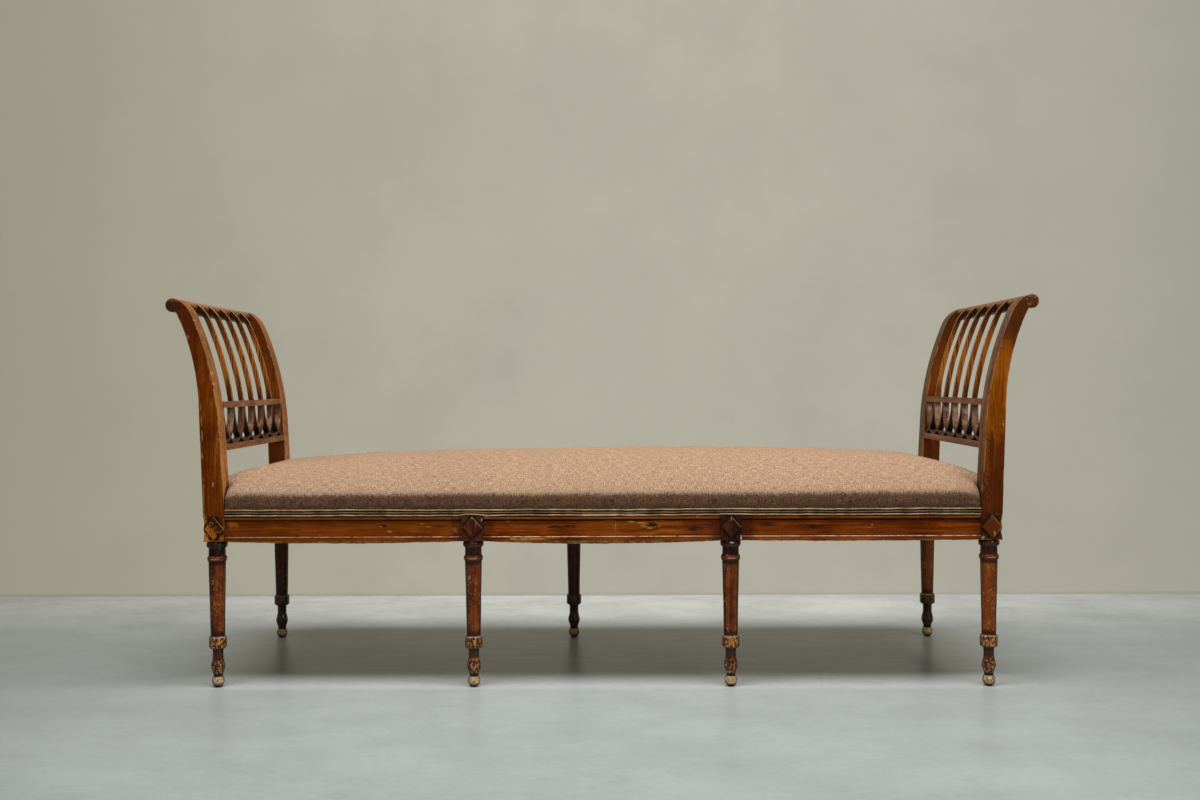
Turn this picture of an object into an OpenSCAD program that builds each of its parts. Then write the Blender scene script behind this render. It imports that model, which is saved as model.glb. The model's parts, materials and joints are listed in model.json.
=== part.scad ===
// Long upholstered bench with two open ends that curve outward and carry no back.
// X runs along the bench, Y from front to back, Z up; the origin is on the floor at its middle.

/* [Seat frame] */
// Distance between the end legs along the bench, centre to centre
leg_span_x = 1776; // [1560:1:2100]
// Distance between the front and rear legs, centre to centre
leg_span_y = 540; // [480:1:620]
// Height of the legs, from the floor to the seat frame
leg_h = 338; // [300:1:400]
// Width of the posts and blocks along the bench
block_w = 48; // [46:1:54]
// Depth of the posts and blocks from front to back
block_d = 48; // [46:1:54]
// Height of the seat rails
rail_h = 75; // [72:1:84]
// Thickness of the seat rails
rail_t = 28; // [26:1:32]
// Step from the face of a block back to the face of a rail
rail_setback = 3; // [2:0.5:5]
// Where the front middle legs stand, as a share of the way from the middle to an end leg
mid_leg_share = 0.3333; // [0.25:0.01:0.45]
// Where the rear middle leg stands, left of the middle
rear_leg_offset = 82; // [40:1:160]

/* [Rail moulding] */
// Height of the plain strip along the foot of a rail
strip_h = 11; // [8:0.5:14]
// Depth to which the flat frieze is sunk
frieze_sink = 2.5; // [1.5:0.5:3.5]
// Height of the bead along the top of the frieze
bead_h = 7.5; // [6:0.5:9]
// Height of the groove under the bead
groove_h = 3; // [2:0.5:4]
// Depth of the groove under the bead
groove_d = 5; // [4:0.5:6]
// Height from the foot of a rail to the top of its bead
show_h = 56.5; // [52:0.5:60]
// Depth of the rebate that the upholstery is tacked into
rebate_d = 5; // [4:0.5:6]
// Depth of the carving round a lozenge
carve_d = 3; // [2:0.5:4]
// Land between the side points of a lozenge and the edges of a middle block
block_lozenge_land = 2; // [1:0.5:4]
// Height of the lozenges on the middle blocks
block_lozenge_h = 48; // [42:1:48]
// Height from the foot of a middle block to the lower point of its lozenge
block_lozenge_low = 7; // [4:0.5:8]
// Land between the side points of a lozenge and the edges of a corner post
post_lozenge_land = 0.6; // [0.4:0.1:2]
// Height of the lozenges on the corner posts
post_lozenge_h = 56; // [48:1:58]
// Height from the foot of a corner post to the lower point of its lozenges
post_lozenge_low = 1.5; // [1:0.5:3]

/* [Posts] */
// Height above the rails' underside at which a post starts to lean
lean_start_h = 62; // [58:1:80]
// Height above the rails' underside at which the inner face of a post starts to curve
curve_start_h = 255; // [240:1:275]
// Height above the rails' underside at which the outer face of a post starts to curve
outer_curve_h = 317; // [290:1:340]
// Lean of the inner face of a post, in degrees
lean_in = 3; // [2:0.5:4]
// Lean of the outer face of a post, in degrees
lean_out = 1.8; // [1:0.2:2.8]
// Radius of the long curve of a post's inner face
sweep_r = 780; // [740:1:820]
// Lean at which that curve ends, in degrees
sweep_angle = 23; // [21:0.1:25]
// Radius of the short curve that runs on to the scroll
tip_r = 72; // [64:0.5:80]
// Lean at which the short curve meets the scroll, in degrees
tip_angle = 65.5; // [58:0.5:72]
// Diameter of the scroll and of the top roll
scroll_d = 31.6; // [28:0.2:34]
// Place of the notch under the scroll, in degrees below level
notch_angle = 63; // [50:1:75]

/* [End panels] */
// Number of curved slats in each end
slat_count = 5; // [4:1:6]
// Width of a slat, seen from the seat
slat_w = 11; // [9:0.5:14]
// Thickness of a slat
slat_t = 11; // [10:0.5:13]
// Step from the face of a post back to the face of the slats
slat_inset = 1; // [0.5:0.5:2]
// Height of the lower and middle rails of an end
panel_rail_h = 15; // [13.5:0.5:18]
// Thickness of the lower and middle rails of an end
panel_rail_t = 18; // [17:0.5:22]
// Step from the straight face of a post back to the face of these rails
panel_inset = 1; // [0.5:0.5:3]
// Height of the lower rail's underside above the start of the lean
lower_rail_h = 145; // [135:1:160]
// Thickness of a hoop's rim, seen from the seat
hoop_t = 6.5; // [5:0.5:7.5]
// Depth of a hoop
hoop_d = 15; // [12:0.5:15]
// Straight length at the top of a hoop's arms
hoop_arm_h = 3.5; // [3:0.5:8]
// Depth to which the hoops are let into the lower rail
hoop_seat = 1; // [0.8:0.2:2.4]
// Diameter of the roll's tenon, which shows as the eye of the scroll
eye_d = 12; // [10:0.5:14]

/* [Turned legs] */
// Diameter of the bell-shaped collar under the seat frame
bell_d = 48; // [42:0.5:48]
// Height of that collar
bell_h = 17; // [14:0.5:20]
// Diameter of the neck under the collar
neck_d = 38; // [34:0.5:40]
// Height of the neck
neck_h = 18; // [14:0.5:22]
// Diameter of the ring under the neck
ring_d = 44.5; // [42:0.5:47]
// Height of the ring
ring_h = 12; // [9:0.5:14]
// Diameter of the shaft at its top
shaft_top_d = 39; // [36:0.5:41]
// Diameter of the shaft at its foot
shaft_foot_d = 31.5; // [29:0.5:34]
// Diameter of the collar at the foot of the shaft
cuff_d = 40; // [37:0.5:43]
// Height of that collar
cuff_h = 28; // [24:0.5:32]
// Height of the vase, from the ball foot to the collar
vase_h = 65; // [56:0.5:72]
// Largest diameter of the vase
vase_d = 31.5; // [29:0.5:34]
// Diameter of the vase's upper neck
vase_neck_d = 24.5; // [22:0.5:27]
// Diameter of the neck over the ball foot
foot_neck_d = 21; // [18:0.5:23]
// Diameter of the ball foot
foot_d = 29; // [26:0.5:32]
// Height of the ball foot
foot_h = 25; // [21:0.5:28]
// Diameter of the tenon that holds a leg in its block
leg_tenon_d = 22; // [18:0.5:26]
// Length of that tenon
leg_tenon_l = 28; // [22:0.5:30]

/* [Joints] */
// Thickness of the seat rails' tenons
tenon_t = 9; // [7:0.5:10]
// Height of the seat rails' tenons
tenon_h = 38; // [30:0.5:40]
// Length of the seat rails' tenons
tenon_l = 20; // [16:0.5:21]
// Thickness of the tenons on the end panels' rails
panel_tenon_t = 9; // [7:0.5:11]
// Height of the tenons on the end panels' rails
panel_tenon_h = 10; // [8:0.5:12]
// Length of the tenons on the end panels' rails
panel_tenon_l = 14; // [10:0.5:18]
// Depth to which slats, hoops and the roll's slats are let in
stub_l = 5; // [3:0.5:5.5]
// Clearance round a tenon
joint_gap = 0.2; // [0.1:0.05:0.3]

/* [Inside the seat] */
// Width of the cross rails
cross_rail_w = 32; // [26:1:38]
// Height of the cross rails
cross_rail_h = 45; // [38:1:48]
// Drop from the top of the seat rails to the cross rails
cross_rail_drop = 14; // [10:1:18]
// Length of a corner block along each rail
corner_leg = 45; // [30:1:60]
// Height of the corner blocks
corner_h = 30; // [20:1:34]
// Width of a webbing strap
strap_w = 75; // [60:1:80]
// Thickness of a webbing strap
strap_t = 1.6; // [1.2:0.1:2.4]
// Number of straps that run along the bench
long_straps = 4; // [3:1:4]
// Number of straps that run from front to back
cross_straps = 14; // [10:1:16]
// Thickness of the hessian
hessian_t = 1; // [0.6:0.1:1.6]
// Margin from the rebate to the tacked ends of straps and hessian
tack_margin = 5; // [3:0.5:8]

/* [Upholstery] */
// Height of the crown of the seat above the top of the seat rails
crown_h = 123; // [100:1:140]
// Height of the upright side of the stuffing above the seat rails
side_h = 35; // [28:1:42]
// Flatness of the crown along the bench
crown_flat_x = 2.9; // [2.2:0.1:3.6]
// Steepness of the crown's edges at the two ends
crown_steep_x = 2.9; // [2:0.1:3.6]
// Flatness of the crown from front to back
crown_flat_y = 2; // [1.8:0.1:3]
// Steepness of the crown's edges at the front and the rear
crown_steep_y = 1.2; // [1.1:0.1:2.6]
// Thickness of the cover cloth
cover_t = 2; // [1.5:0.1:2.5]
// Radius of each of the three cords of the edging
cord_r = 2.9; // [2.4:0.1:3]
// Clearance round the soft pieces
soft_gap = 0.3; // [0.2:0.05:0.5]

/* [Hidden] */
$fn = 64;
ENDS = ["left", "right"];
LEG_NAMES = ["leg_front_1", "leg_front_2", "leg_front_3", "leg_front_4",
             "leg_rear_1", "leg_rear_2", "leg_rear_3"];

// Overrun of every cut past the face that it leaves
cut_over = 1;
// Steps along an arc of an outline
arc_steps = 18;
// Steps round the scroll
scroll_steps = 30;
// Steps along a curve of a leg's outline
turn_steps = 10;
// Steps across half of the crown
crown_steps = 14;

// Shares of a piece that its tenon takes
slat_tenon_share = 0.66;
cross_tenon_w_share = 0.34;
cross_tenon_h_share = 0.66;
cross_tenon_l_share = 0.6;

// Places of the legs and faces of the seat frame
post_x = leg_span_x / 2;
post_y = leg_span_y / 2;
mid_x = post_x * mid_leg_share;
post_in_x = post_x - block_w / 2;
post_out_x = post_x + block_w / 2;
post_in_y = post_y - block_d / 2;
post_out_y = post_y + block_d / 2;
rail_face_x = post_out_x - rail_setback;
rail_face_y = post_out_y - rail_setback;
rail_in_x = rail_face_x - rail_t;
rail_in_y = rail_face_y - rail_t;
rebate_x = rail_face_x - rebate_d;
rebate_y = rail_face_y - rebate_d;
rail_top = leg_h + rail_h;
show_top = leg_h + show_h;
tenon_low = leg_tenon_l + (rail_h - leg_tenon_l - tenon_h) / 2;

// Outline of a post, in the plane of x and z, on the right-hand side
function along(a) = [sin(a), cos(a)];
function outward(a) = [cos(a), -sin(a)];
function arc(c, r, a0, a1, n = arc_steps) =
    [for (i = [0:n]) let (a = a0 + (a1 - a0) * i / n) c - r * outward(a)];
function backward(list) = [for (i = [len(list) - 1:-1:0]) list[i]];
function square_of(v) = v * v;
lean_len = (curve_start_h - lean_start_h) / cos(lean_in);
in_foot = [post_in_x, leg_h + lean_start_h];
in_start = in_foot + lean_len * along(lean_in);
sweep_c = in_start + sweep_r * outward(lean_in);
tip_c = sweep_c - (sweep_r - tip_r) * outward(sweep_angle);
scroll_r = scroll_d / 2;
scroll_c = tip_c - (tip_r - scroll_r) * outward(tip_angle);
out_foot = [post_out_x, leg_h + lean_start_h];
out_start = out_foot + (outer_curve_h - lean_start_h) * [tan(lean_out), 1];
notch = scroll_c - scroll_r * outward(-notch_angle);
notch_run = notch - out_start;
outer_r = square_of(notch_run) / (2 * notch_run * outward(lean_out));
outer_c = out_start + outer_r * outward(lean_out);
notch_lean = asin((notch[1] - outer_c[1]) / outer_r);
scroll_turn = 360 - notch_angle - tip_angle;
post_outline = concat(
    [[post_in_x, leg_h], in_foot],
    arc(sweep_c, sweep_r, lean_in, sweep_angle),
    arc(tip_c, tip_r, sweep_angle + (tip_angle - sweep_angle) / arc_steps, tip_angle),
    arc(scroll_c, scroll_r, tip_angle + scroll_turn / scroll_steps, tip_angle + scroll_turn, scroll_steps),
    arc(outer_c, outer_r, notch_lean - (notch_lean - lean_out) / arc_steps, lean_out),
    [out_foot, [post_out_x, leg_h]]
);

// The inner face of a post, moved outward by s, from below the end panel to the middle of the roll
function inner_edge(s) = concat(
    [in_foot + s * outward(lean_in)],
    arc(sweep_c, sweep_r - s, lean_in, sweep_angle),
    arc(tip_c, tip_r - s, sweep_angle + (tip_angle - sweep_angle) / arc_steps, tip_angle)
);

// Places in an end panel, measured along the lean from the post's in_foot and outward from its inner face
panel_w = 2 * post_in_y;
pitch = panel_w / (slat_count + 1);
hoop_r = pitch - joint_gap / 2;
lower_top = lower_rail_h + panel_rail_h;
hoop_axis = lower_top - hoop_seat + hoop_r;
mid_low = hoop_axis + hoop_arm_h;
mid_top = mid_low + panel_rail_h;
hoop_s = panel_inset + (panel_rail_t - hoop_d) / 2;
hoop_tenon_t = hoop_d / 2;
slat_tenon_t = slat_t / 2;
slat_tenon_w = slat_w * slat_tenon_share;
// The post's curve starts under the middle rail, so a slat's foot lies farther out than the straight face
slat_foot_rise = max(0, mid_top - lean_len);
slat_foot_s = slat_inset + sweep_r - sqrt(square_of(sweep_r) - square_of(slat_foot_rise));
panel_tenon_s = panel_inset + (panel_rail_t - panel_tenon_t) / 2;
panel_tenon_up = (panel_rail_h - panel_tenon_h) / 2;
roll_core_r = scroll_r - stub_l;

// How far the ground round a lozenge rises to the face, as a share of the way from its middle to its edge
ground_share = 2.15;

// Colours
post_colour = [0.36, 0.17, 0.06];
rail_colour = [0.42, 0.20, 0.08];
dark_colour = [0.22, 0.11, 0.07];
slat_colour = [0.40, 0.22, 0.11];
plain_wood_colour = [0.72, 0.58, 0.40];
jute_colour = [0.62, 0.52, 0.36];
pad_colour = [0.80, 0.76, 0.68];
cloth_colour = [0.72, 0.57, 0.45];
edging_colour = [0.55, 0.45, 0.35];

// Puts a shape that is drawn for the right-hand end at the end that is named
module at_end(e) {
    if (e == "left") mirror([1, 0, 0]) children();
    else children();
}

// Puts a shape that is drawn for the front at the front or the rear
module at_side(rear) {
    if (rear) mirror([0, 1, 0]) children();
    else children();
}

// Stands a shape in the leaning frame of an end panel: x outward, y along the roll, z along the lean
module lean_frame() {
    translate([in_foot[0], 0, in_foot[1]]) rotate([0, lean_in, 0]) children();
}

// A bar along y with its section in the plane of x and z
module bar_y(outline, y0, y1) {
    translate([0, y1, 0]) rotate([90, 0, 0]) linear_extrude(y1 - y0) polygon(outline);
}

// Joints

// Round mortise for a leg, under a block or post at x and y
module leg_mortise(x, y) {
    translate([x, y, leg_h - cut_over])
        cylinder(d = leg_tenon_d + 2 * joint_gap, h = leg_tenon_l + joint_gap + cut_over);
}

// Rail tenon that points along +x from the origin, in the middle of the rail's thickness
module rail_tenon(g) {
    translate([-cut_over, -tenon_t / 2 - g, tenon_low - g])
        cube([tenon_l + g + cut_over, tenon_t + 2 * g, tenon_h + 2 * g]);
}

// Tenon of an end panel's rail, along y from its shoulder, in the leaning frame
module panel_tenon(low, g) {
    translate([panel_tenon_s - g, -cut_over, low + panel_tenon_up - g])
        cube([panel_tenon_t + 2 * g, panel_tenon_l + g + cut_over, panel_tenon_h + 2 * g]);
}

// Carved ground round a lozenge on a face that is face_w wide, stands on the leg and looks along -y. It is
// deepest along the lozenge and rises from there on all four sides. The cut stops at the height top_h.
module lozenge_ground(face_w, land, h, low, top_h) {
    a = face_w / 2 - land;
    b = h / 2;
    tilt = atan(b / a);
    apex = carve_d * ground_share / (ground_share - 1);
    wide = ground_share * a * b / norm([a, b]) * (apex + cut_over) / apex;
    difference() {
        intersection() {
            translate([-face_w / 2 - cut_over, -cut_over, -cut_over])
                cube([face_w + 2 * cut_over, apex + 2 * cut_over, top_h + cut_over]);
            translate([0, 0, low + b]) rotate([0, tilt, 0]) ground_roof(apex, wide, face_w);
            translate([0, 0, low + b]) rotate([0, -tilt, 0]) ground_roof(apex, wide, face_w);
        }
        translate([0, apex + 2 * cut_over, low + b]) rotate([90, 0, 0]) linear_extrude(apex + 4 * cut_over)
            polygon([[a, 0], [0, b], [-a, 0], [0, -b]]);
    }
}

// Roof-shaped bar whose ridge lies along x, at the depth apex
module ground_roof(apex, wide, face_w) {
    translate([-2 * face_w, 0, 0]) rotate([90, 0, 90]) linear_extrude(4 * face_w)
        polygon([[apex, 0], [-cut_over, wide], [-cut_over, -wide]]);
}

// Seat frame

// Corner post, drawn for the front right
module post() {
    difference() {
        bar_y(post_outline, -post_out_y, -post_in_y);
        leg_mortise(post_x, -post_y);
        translate([post_in_x, -rail_face_y + rail_t / 2, leg_h]) rail_tenon(joint_gap);
        translate([rail_face_x - rail_t / 2, -post_in_y, leg_h]) rotate([0, 0, -90]) rail_tenon(joint_gap);
        lean_frame() translate([0, -post_in_y, 0]) mirror([0, 1, 0]) {
            panel_tenon(lower_rail_h, joint_gap);
            panel_tenon(mid_low, joint_gap);
        }
        translate([scroll_c[0], -post_out_y - cut_over, scroll_c[1]]) rotate([-90, 0, 0])
            cylinder(d = eye_d + 2 * joint_gap, h = block_d + 2 * cut_over);
        translate([post_out_x, -post_y, leg_h]) rotate([0, 0, 90]) post_ground(block_d);
    }
}

module post_ground(face_w) {
    lozenge_ground(face_w, post_lozenge_land, post_lozenge_h, post_lozenge_low,
                   post_lozenge_low + post_lozenge_h + post_lozenge_land);
}

// Front posts have a lozenge on the front face as well
module front_post() {
    color(post_colour) difference() {
        post();
        translate([post_x, -post_out_y, leg_h]) post_ground(block_w);
    }
}

module rear_post() {
    color(post_colour) mirror([0, 1, 0]) post();
}

// Middle block at x, drawn for the front, with mortises for the rails on both sides
module block(x) {
    translate([x, 0, 0]) difference() {
        translate([-block_w / 2, -post_out_y, leg_h]) cube([block_w, block_d, rail_h]);
        translate([-block_w / 2 - cut_over, -post_out_y - cut_over, show_top])
            cube([block_w + 2 * cut_over, post_out_y - rebate_y + cut_over, rail_h]);
        leg_mortise(0, -post_y);
        for (s = [0, 1]) mirror([s, 0, 0])
            translate([-block_w / 2, -rail_face_y + rail_t / 2, leg_h]) rail_tenon(joint_gap);
    }
}

module front_block(x) {
    color(dark_colour) difference() {
        block(x);
        translate([x, -post_out_y, leg_h])
            lozenge_ground(block_w, block_lozenge_land, block_lozenge_h, block_lozenge_low, rail_h);
        translate([x, -post_in_y, 0]) rotate([0, 0, -90]) cross_rail_tenon(joint_gap);
    }
}

module rear_block() {
    color(dark_colour) mirror([0, 1, 0]) block(-rear_leg_offset);
}

// Section of a moulded rail: distance outward from its inner face, height
bead_r = bead_h / 2;
moulded_section = concat(
    [[0, 0], [rail_t, 0], [rail_t, strip_h - frieze_sink]],
    [for (i = [1:turn_steps]) let (a = 90 * i / turn_steps)
        [rail_t - frieze_sink * (1 - cos(a)), strip_h - frieze_sink + frieze_sink * sin(a)]],
    [[rail_t - frieze_sink, show_h - bead_h - groove_h], [rail_t - groove_d, show_h - bead_h - groove_h]],
    [for (i = [0:turn_steps]) let (a = -90 + 180 * i / turn_steps)
        [rail_t - bead_r + bead_r * cos(a), show_h - bead_r + bead_r * sin(a)]],
    [[rail_t - rebate_d, show_h], [rail_t - rebate_d, rail_h], [0, rail_h]]
);
plain_section = [[0, 0], [rail_t, 0], [rail_t, show_h], [rail_t - rebate_d, show_h],
                 [rail_t - rebate_d, rail_h], [0, rail_h]];

// Rail between x0 and x1 whose inner face is at y = 0 and whose outer face looks along -y
module rail(x0, x1, section) {
    translate([0, 0, leg_h]) {
        translate([x0, 0, 0]) rotate([90, 0, 90]) linear_extrude(x1 - x0)
            polygon([for (p = section) [-p[0], p[1]]]);
        translate([x1, -rail_t / 2, 0]) rail_tenon(0);
        translate([x0, -rail_t / 2, 0]) mirror([1, 0, 0]) rail_tenon(0);
    }
}

module front_rail(x0, x1) {
    color(rail_colour) translate([0, -rail_in_y, 0]) rail(x0, x1, moulded_section);
}

module rear_rail(x0, x1, cross_x) {
    color(rail_colour) difference() {
        translate([0, rail_in_y, 0]) mirror([0, 1, 0]) rail(x0, x1, plain_section);
        translate([cross_x, rail_in_y, 0]) rotate([0, 0, 90]) cross_rail_tenon(joint_gap);
    }
}

module end_rail() {
    color(rail_colour) translate([rail_in_x, 0, 0]) rotate([0, 0, 90])
        rail(-post_in_y, post_in_y, moulded_section);
}

// Cross rail and its tenons, which point along +x from the shoulder
cross_low = rail_top - cross_rail_drop - cross_rail_h;
cross_tenon_w = cross_rail_w * cross_tenon_w_share;
cross_tenon_l = tenon_l * cross_tenon_l_share;
cross_tenon_h = cross_rail_h * cross_tenon_h_share;
module cross_rail_tenon(g) {
    translate([-cut_over, -cross_tenon_w / 2 - g, cross_low + (cross_rail_h - cross_tenon_h) / 2 - g])
        cube([cross_tenon_l + g + cut_over, cross_tenon_w + 2 * g, cross_tenon_h + 2 * g]);
}
module cross_rail(x) {
    color(plain_wood_colour) translate([x, 0, 0]) {
        translate([-cross_rail_w / 2, -post_in_y, cross_low])
            cube([cross_rail_w, post_in_y + rail_in_y, cross_rail_h]);
        translate([0, rail_in_y, 0]) rotate([0, 0, 90]) cross_rail_tenon(0);
        translate([0, -post_in_y, 0]) rotate([0, 0, -90]) cross_rail_tenon(0);
    }
}

// Glued blocks in the corners of the frame, notched round the posts
module corner_blocks() {
    outline = [[post_in_x, -rail_in_y], [post_in_x, -post_in_y], [rail_in_x, -post_in_y],
               [rail_in_x, -post_in_y + corner_leg], [post_in_x - corner_leg, -rail_in_y]];
    color(plain_wood_colour)
        for (sx = [0, 1]) mirror([sx, 0, 0])
            for (sy = [0, 1]) mirror([0, sy, 0])
                translate([0, 0, rail_top - cross_rail_drop - corner_h])
                    linear_extrude(corner_h) polygon(outline);
}

// Turned legs

// Outline between two radii that starts and ends upright
function swell(r0, z0, r1, z1) =
    [for (i = [0:turn_steps]) [r0 + (r1 - r0) * (1 - cos(180 * i / turn_steps)) / 2,
                               z0 + (z1 - z0) * i / turn_steps]];
// Half-round outline of radius r at its middle, between z0 and z1, that stands out from a core
function half_round(core, r, z0, z1) =
    [for (i = [0:turn_steps]) let (a = -90 + 180 * i / turn_steps)
        [core + (r - core) * cos(a), (z0 + z1) / 2 + (z1 - z0) / 2 * sin(a)]];
foot_flat_share = 0.42;
foot_cap_share = 0.70;
vase_belly_share = 0.36;
vase_neck_share = 0.88;
cuff_round_share = 0.14;
bell_round_share = 0.30;
cuff_low = foot_h + vase_h;
cuff_end_r = cuff_d / 2 * (1 - cuff_round_share / 2);
shaft_low = cuff_low + cuff_h;
bell_low = leg_h - bell_h;
ring_low = bell_low - neck_h - ring_h;
leg_outline = concat(
    [[0, 0]],
    [for (i = [0:turn_steps]) let (a0 = -acos(foot_flat_share), a1 = acos(foot_cap_share),
        a = a0 + (a1 - a0) * i / turn_steps, low = sin(a0), high = sin(a1))
        [foot_d / 2 * cos(a), foot_h * (sin(a) - low) / (high - low)]],
    swell(foot_neck_d / 2, foot_h, vase_d / 2, foot_h + vase_h * vase_belly_share),
    swell(vase_d / 2, foot_h + vase_h * vase_belly_share, vase_neck_d / 2, foot_h + vase_h * vase_neck_share),
    [[vase_neck_d / 2, cuff_low]],
    swell(cuff_end_r, cuff_low, cuff_d / 2, cuff_low + cuff_h * cuff_round_share),
    swell(cuff_d / 2, shaft_low - cuff_h * cuff_round_share, cuff_end_r, shaft_low),
    [[shaft_foot_d / 2, shaft_low], [shaft_top_d / 2, ring_low]],
    half_round(shaft_top_d / 2, ring_d / 2, ring_low, ring_low + ring_h),
    [[neck_d / 2, ring_low + ring_h], [neck_d / 2, bell_low]],
    swell(neck_d / 2, bell_low, bell_d / 2, leg_h - bell_h * bell_round_share),
    swell(bell_d / 2, leg_h - bell_h * bell_round_share, bell_d / 2 * (1 - cuff_round_share), leg_h),
    [[leg_tenon_d / 2, leg_h], [leg_tenon_d / 2, leg_h + leg_tenon_l], [0, leg_h + leg_tenon_l]]
);
leg_places = [[-post_x, -post_y], [-mid_x, -post_y], [mid_x, -post_y], [post_x, -post_y],
              [-post_x, post_y], [-rear_leg_offset, post_y], [post_x, post_y]];
module leg(i) {
    color(dark_colour) translate([leg_places[i][0], leg_places[i][1], 0]) rotate_extrude() polygon(leg_outline);
}

// End panels

// Section of a slat, from the foot of the panel to the middle of the roll, grown by g
function slat_band(g) = concat(inner_edge(slat_inset - g), backward(inner_edge(slat_inset + slat_t + g)));
function slat_y(i) = -post_in_y + i * pitch;

// Round roll along the top, with a tenon through each post
module top_roll() {
    color(slat_colour) {
        difference() {
            translate([scroll_c[0], -post_in_y, scroll_c[1]]) rotate([-90, 0, 0])
                cylinder(r = scroll_r, h = panel_w);
            for (i = [1:slat_count]) translate([0, slat_y(i), 0])
                bar_y(slat_band(joint_gap), -slat_w / 2 - joint_gap, slat_w / 2 + joint_gap);
        }
        translate([scroll_c[0], -post_in_y, scroll_c[1]]) rotate([-90, 0, 0])
            cylinder(r = roll_core_r - joint_gap, h = panel_w);
        translate([scroll_c[0], -post_out_y, scroll_c[1]]) rotate([-90, 0, 0])
            cylinder(d = eye_d, h = 2 * post_out_y);
    }
}

// Curved slat number i, tenoned into the middle rail and let into the roll
module slat(i) {
    color(slat_colour) translate([0, slat_y(i), 0]) {
        difference() {
            bar_y(slat_band(0), -slat_w / 2, slat_w / 2);
            lean_frame() translate([0, -slat_w, -cut_over])
                cube([slat_foot_s + slat_t + cut_over, 2 * slat_w, mid_top + cut_over]);
            translate([scroll_c[0], -slat_w, scroll_c[1]]) rotate([-90, 0, 0])
                cylinder(r = roll_core_r, h = 2 * slat_w);
        }
        slat_tenon(0);
    }
}
module slat_tenon(g) {
    s0 = slat_foot_s + (slat_t - slat_tenon_t) / 2;
    lean_frame() translate([s0 - g, -slat_tenon_w / 2 - g, mid_top - stub_l - g])
        cube([slat_tenon_t + 2 * g, slat_tenon_w + 2 * g, stub_l + g + cut_over / 2]);
}

// Rail of an end panel that starts at low, with its two tenons
module panel_rail(low) {
    lean_frame() {
        translate([panel_inset, -post_in_y, low]) cube([panel_rail_t, panel_w, panel_rail_h]);
        translate([0, post_in_y, 0]) panel_tenon(low, 0);
        translate([0, -post_in_y, 0]) mirror([0, 1, 0]) panel_tenon(low, 0);
    }
}

// Middle rail, with mortises for the slats above and the hoops below
module mid_rail() {
    color(rail_colour) difference() {
        panel_rail(mid_low);
        for (i = [1:slat_count]) translate([0, slat_y(i), 0]) slat_tenon(joint_gap);
        for (k = [0:slat_count + 1]) hoop_tenons(k, joint_gap);
    }
}

// Lower rail, with a shallow seat for each hoop
module lower_rail() {
    color(rail_colour) difference() {
        panel_rail(lower_rail_h);
        for (k = [0:slat_count + 1])
            lean_frame() translate([hoop_s - joint_gap, slat_y(k), hoop_axis]) rotate([0, 90, 0])
                cylinder(r = hoop_r + joint_gap / 2, h = hoop_d + 2 * joint_gap, $fn = 180);
    }
}

// Tenons on the arms of hoop k, which go up into the middle rail
module hoop_tenons(k, g) {
    sides = k == 0 ? [1] : k == slat_count + 1 ? [-1] : [-1, 1];
    for (s = sides)
        lean_frame() translate([hoop_s + (hoop_d - hoop_tenon_t) / 2 - g,
                                slat_y(k) + s * (hoop_r - hoop_t / 2) - hoop_t / 2 - g, mid_low - cut_over / 2])
            cube([hoop_tenon_t + 2 * g, hoop_t + 2 * g, stub_l + g + cut_over / 2]);
}

// Rim of a hoop, grown by g, in a plane whose x runs along the roll and whose y runs along the lean
module hoop_rim(g) {
    difference() {
        circle(r = hoop_r + g, $fn = 180);
        circle(r = hoop_r - hoop_t - g, $fn = 180);
    }
}

// Slab of the leaning frame, from s0 to s1 outward, with its section drawn round the centre of hoop k
module hoop_slab(k, s0, s1) {
    lean_frame() translate([s0, slat_y(k), hoop_axis]) rotate([90, 0, 90]) linear_extrude(s1 - s0) children();
}

// Hoop k, half-lapped with the next one on each side; the first and last are quarter hoops at the posts
module hoop(k) {
    first = k == 0;
    last = k == slat_count + 1;
    half = hoop_s + hoop_d / 2;
    y0 = first ? joint_gap / 2 : -hoop_r;
    y1 = last ? -joint_gap / 2 : hoop_r;
    color(slat_colour) {
        difference() {
            union() {
                hoop_slab(k, hoop_s, hoop_s + hoop_d) intersection() {
                    hoop_rim(0);
                    translate([y0, -hoop_r]) square([y1 - y0, hoop_r]);
                }
                if (!first) hoop_slab(k, hoop_s, hoop_s + hoop_d)
                    translate([-hoop_r, 0]) square([hoop_t, hoop_arm_h]);
                if (!last) hoop_slab(k, hoop_s, hoop_s + hoop_d)
                    translate([hoop_r - hoop_t, 0]) square([hoop_t, hoop_arm_h]);
            }
            if (!last) hoop_slab(k + 1, hoop_s - cut_over, half + joint_gap / 2) hoop_rim(joint_gap);
            if (!first) hoop_slab(k - 1, half - joint_gap / 2, hoop_s + hoop_d + cut_over) hoop_rim(joint_gap);
        }
        hoop_tenons(k, 0);
    }
}

// Inside the seat

strap_x = rebate_x - tack_margin;
strap_y = rebate_y - tack_margin;
cross_strap_z = rail_top + strap_t;
hessian_z = cross_strap_z + strap_t;
stuffing_z = hessian_z + hessian_t;

module webbing_long() {
    room = 2 * (post_in_y - tack_margin) - strap_w;
    color(jute_colour) for (i = [0:long_straps - 1])
        translate([-strap_x, -room / 2 - strap_w / 2 + i * room / (long_straps - 1), rail_top])
            cube([2 * strap_x, strap_w, strap_t]);
}

module webbing_cross() {
    room = 2 * (post_in_x - tack_margin) - strap_w;
    color(jute_colour) for (i = [0:cross_straps - 1])
        translate([-room / 2 - strap_w / 2 + i * room / (cross_straps - 1), -strap_y, cross_strap_z])
            cube([strap_w, 2 * strap_y, strap_t]);
}

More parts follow.
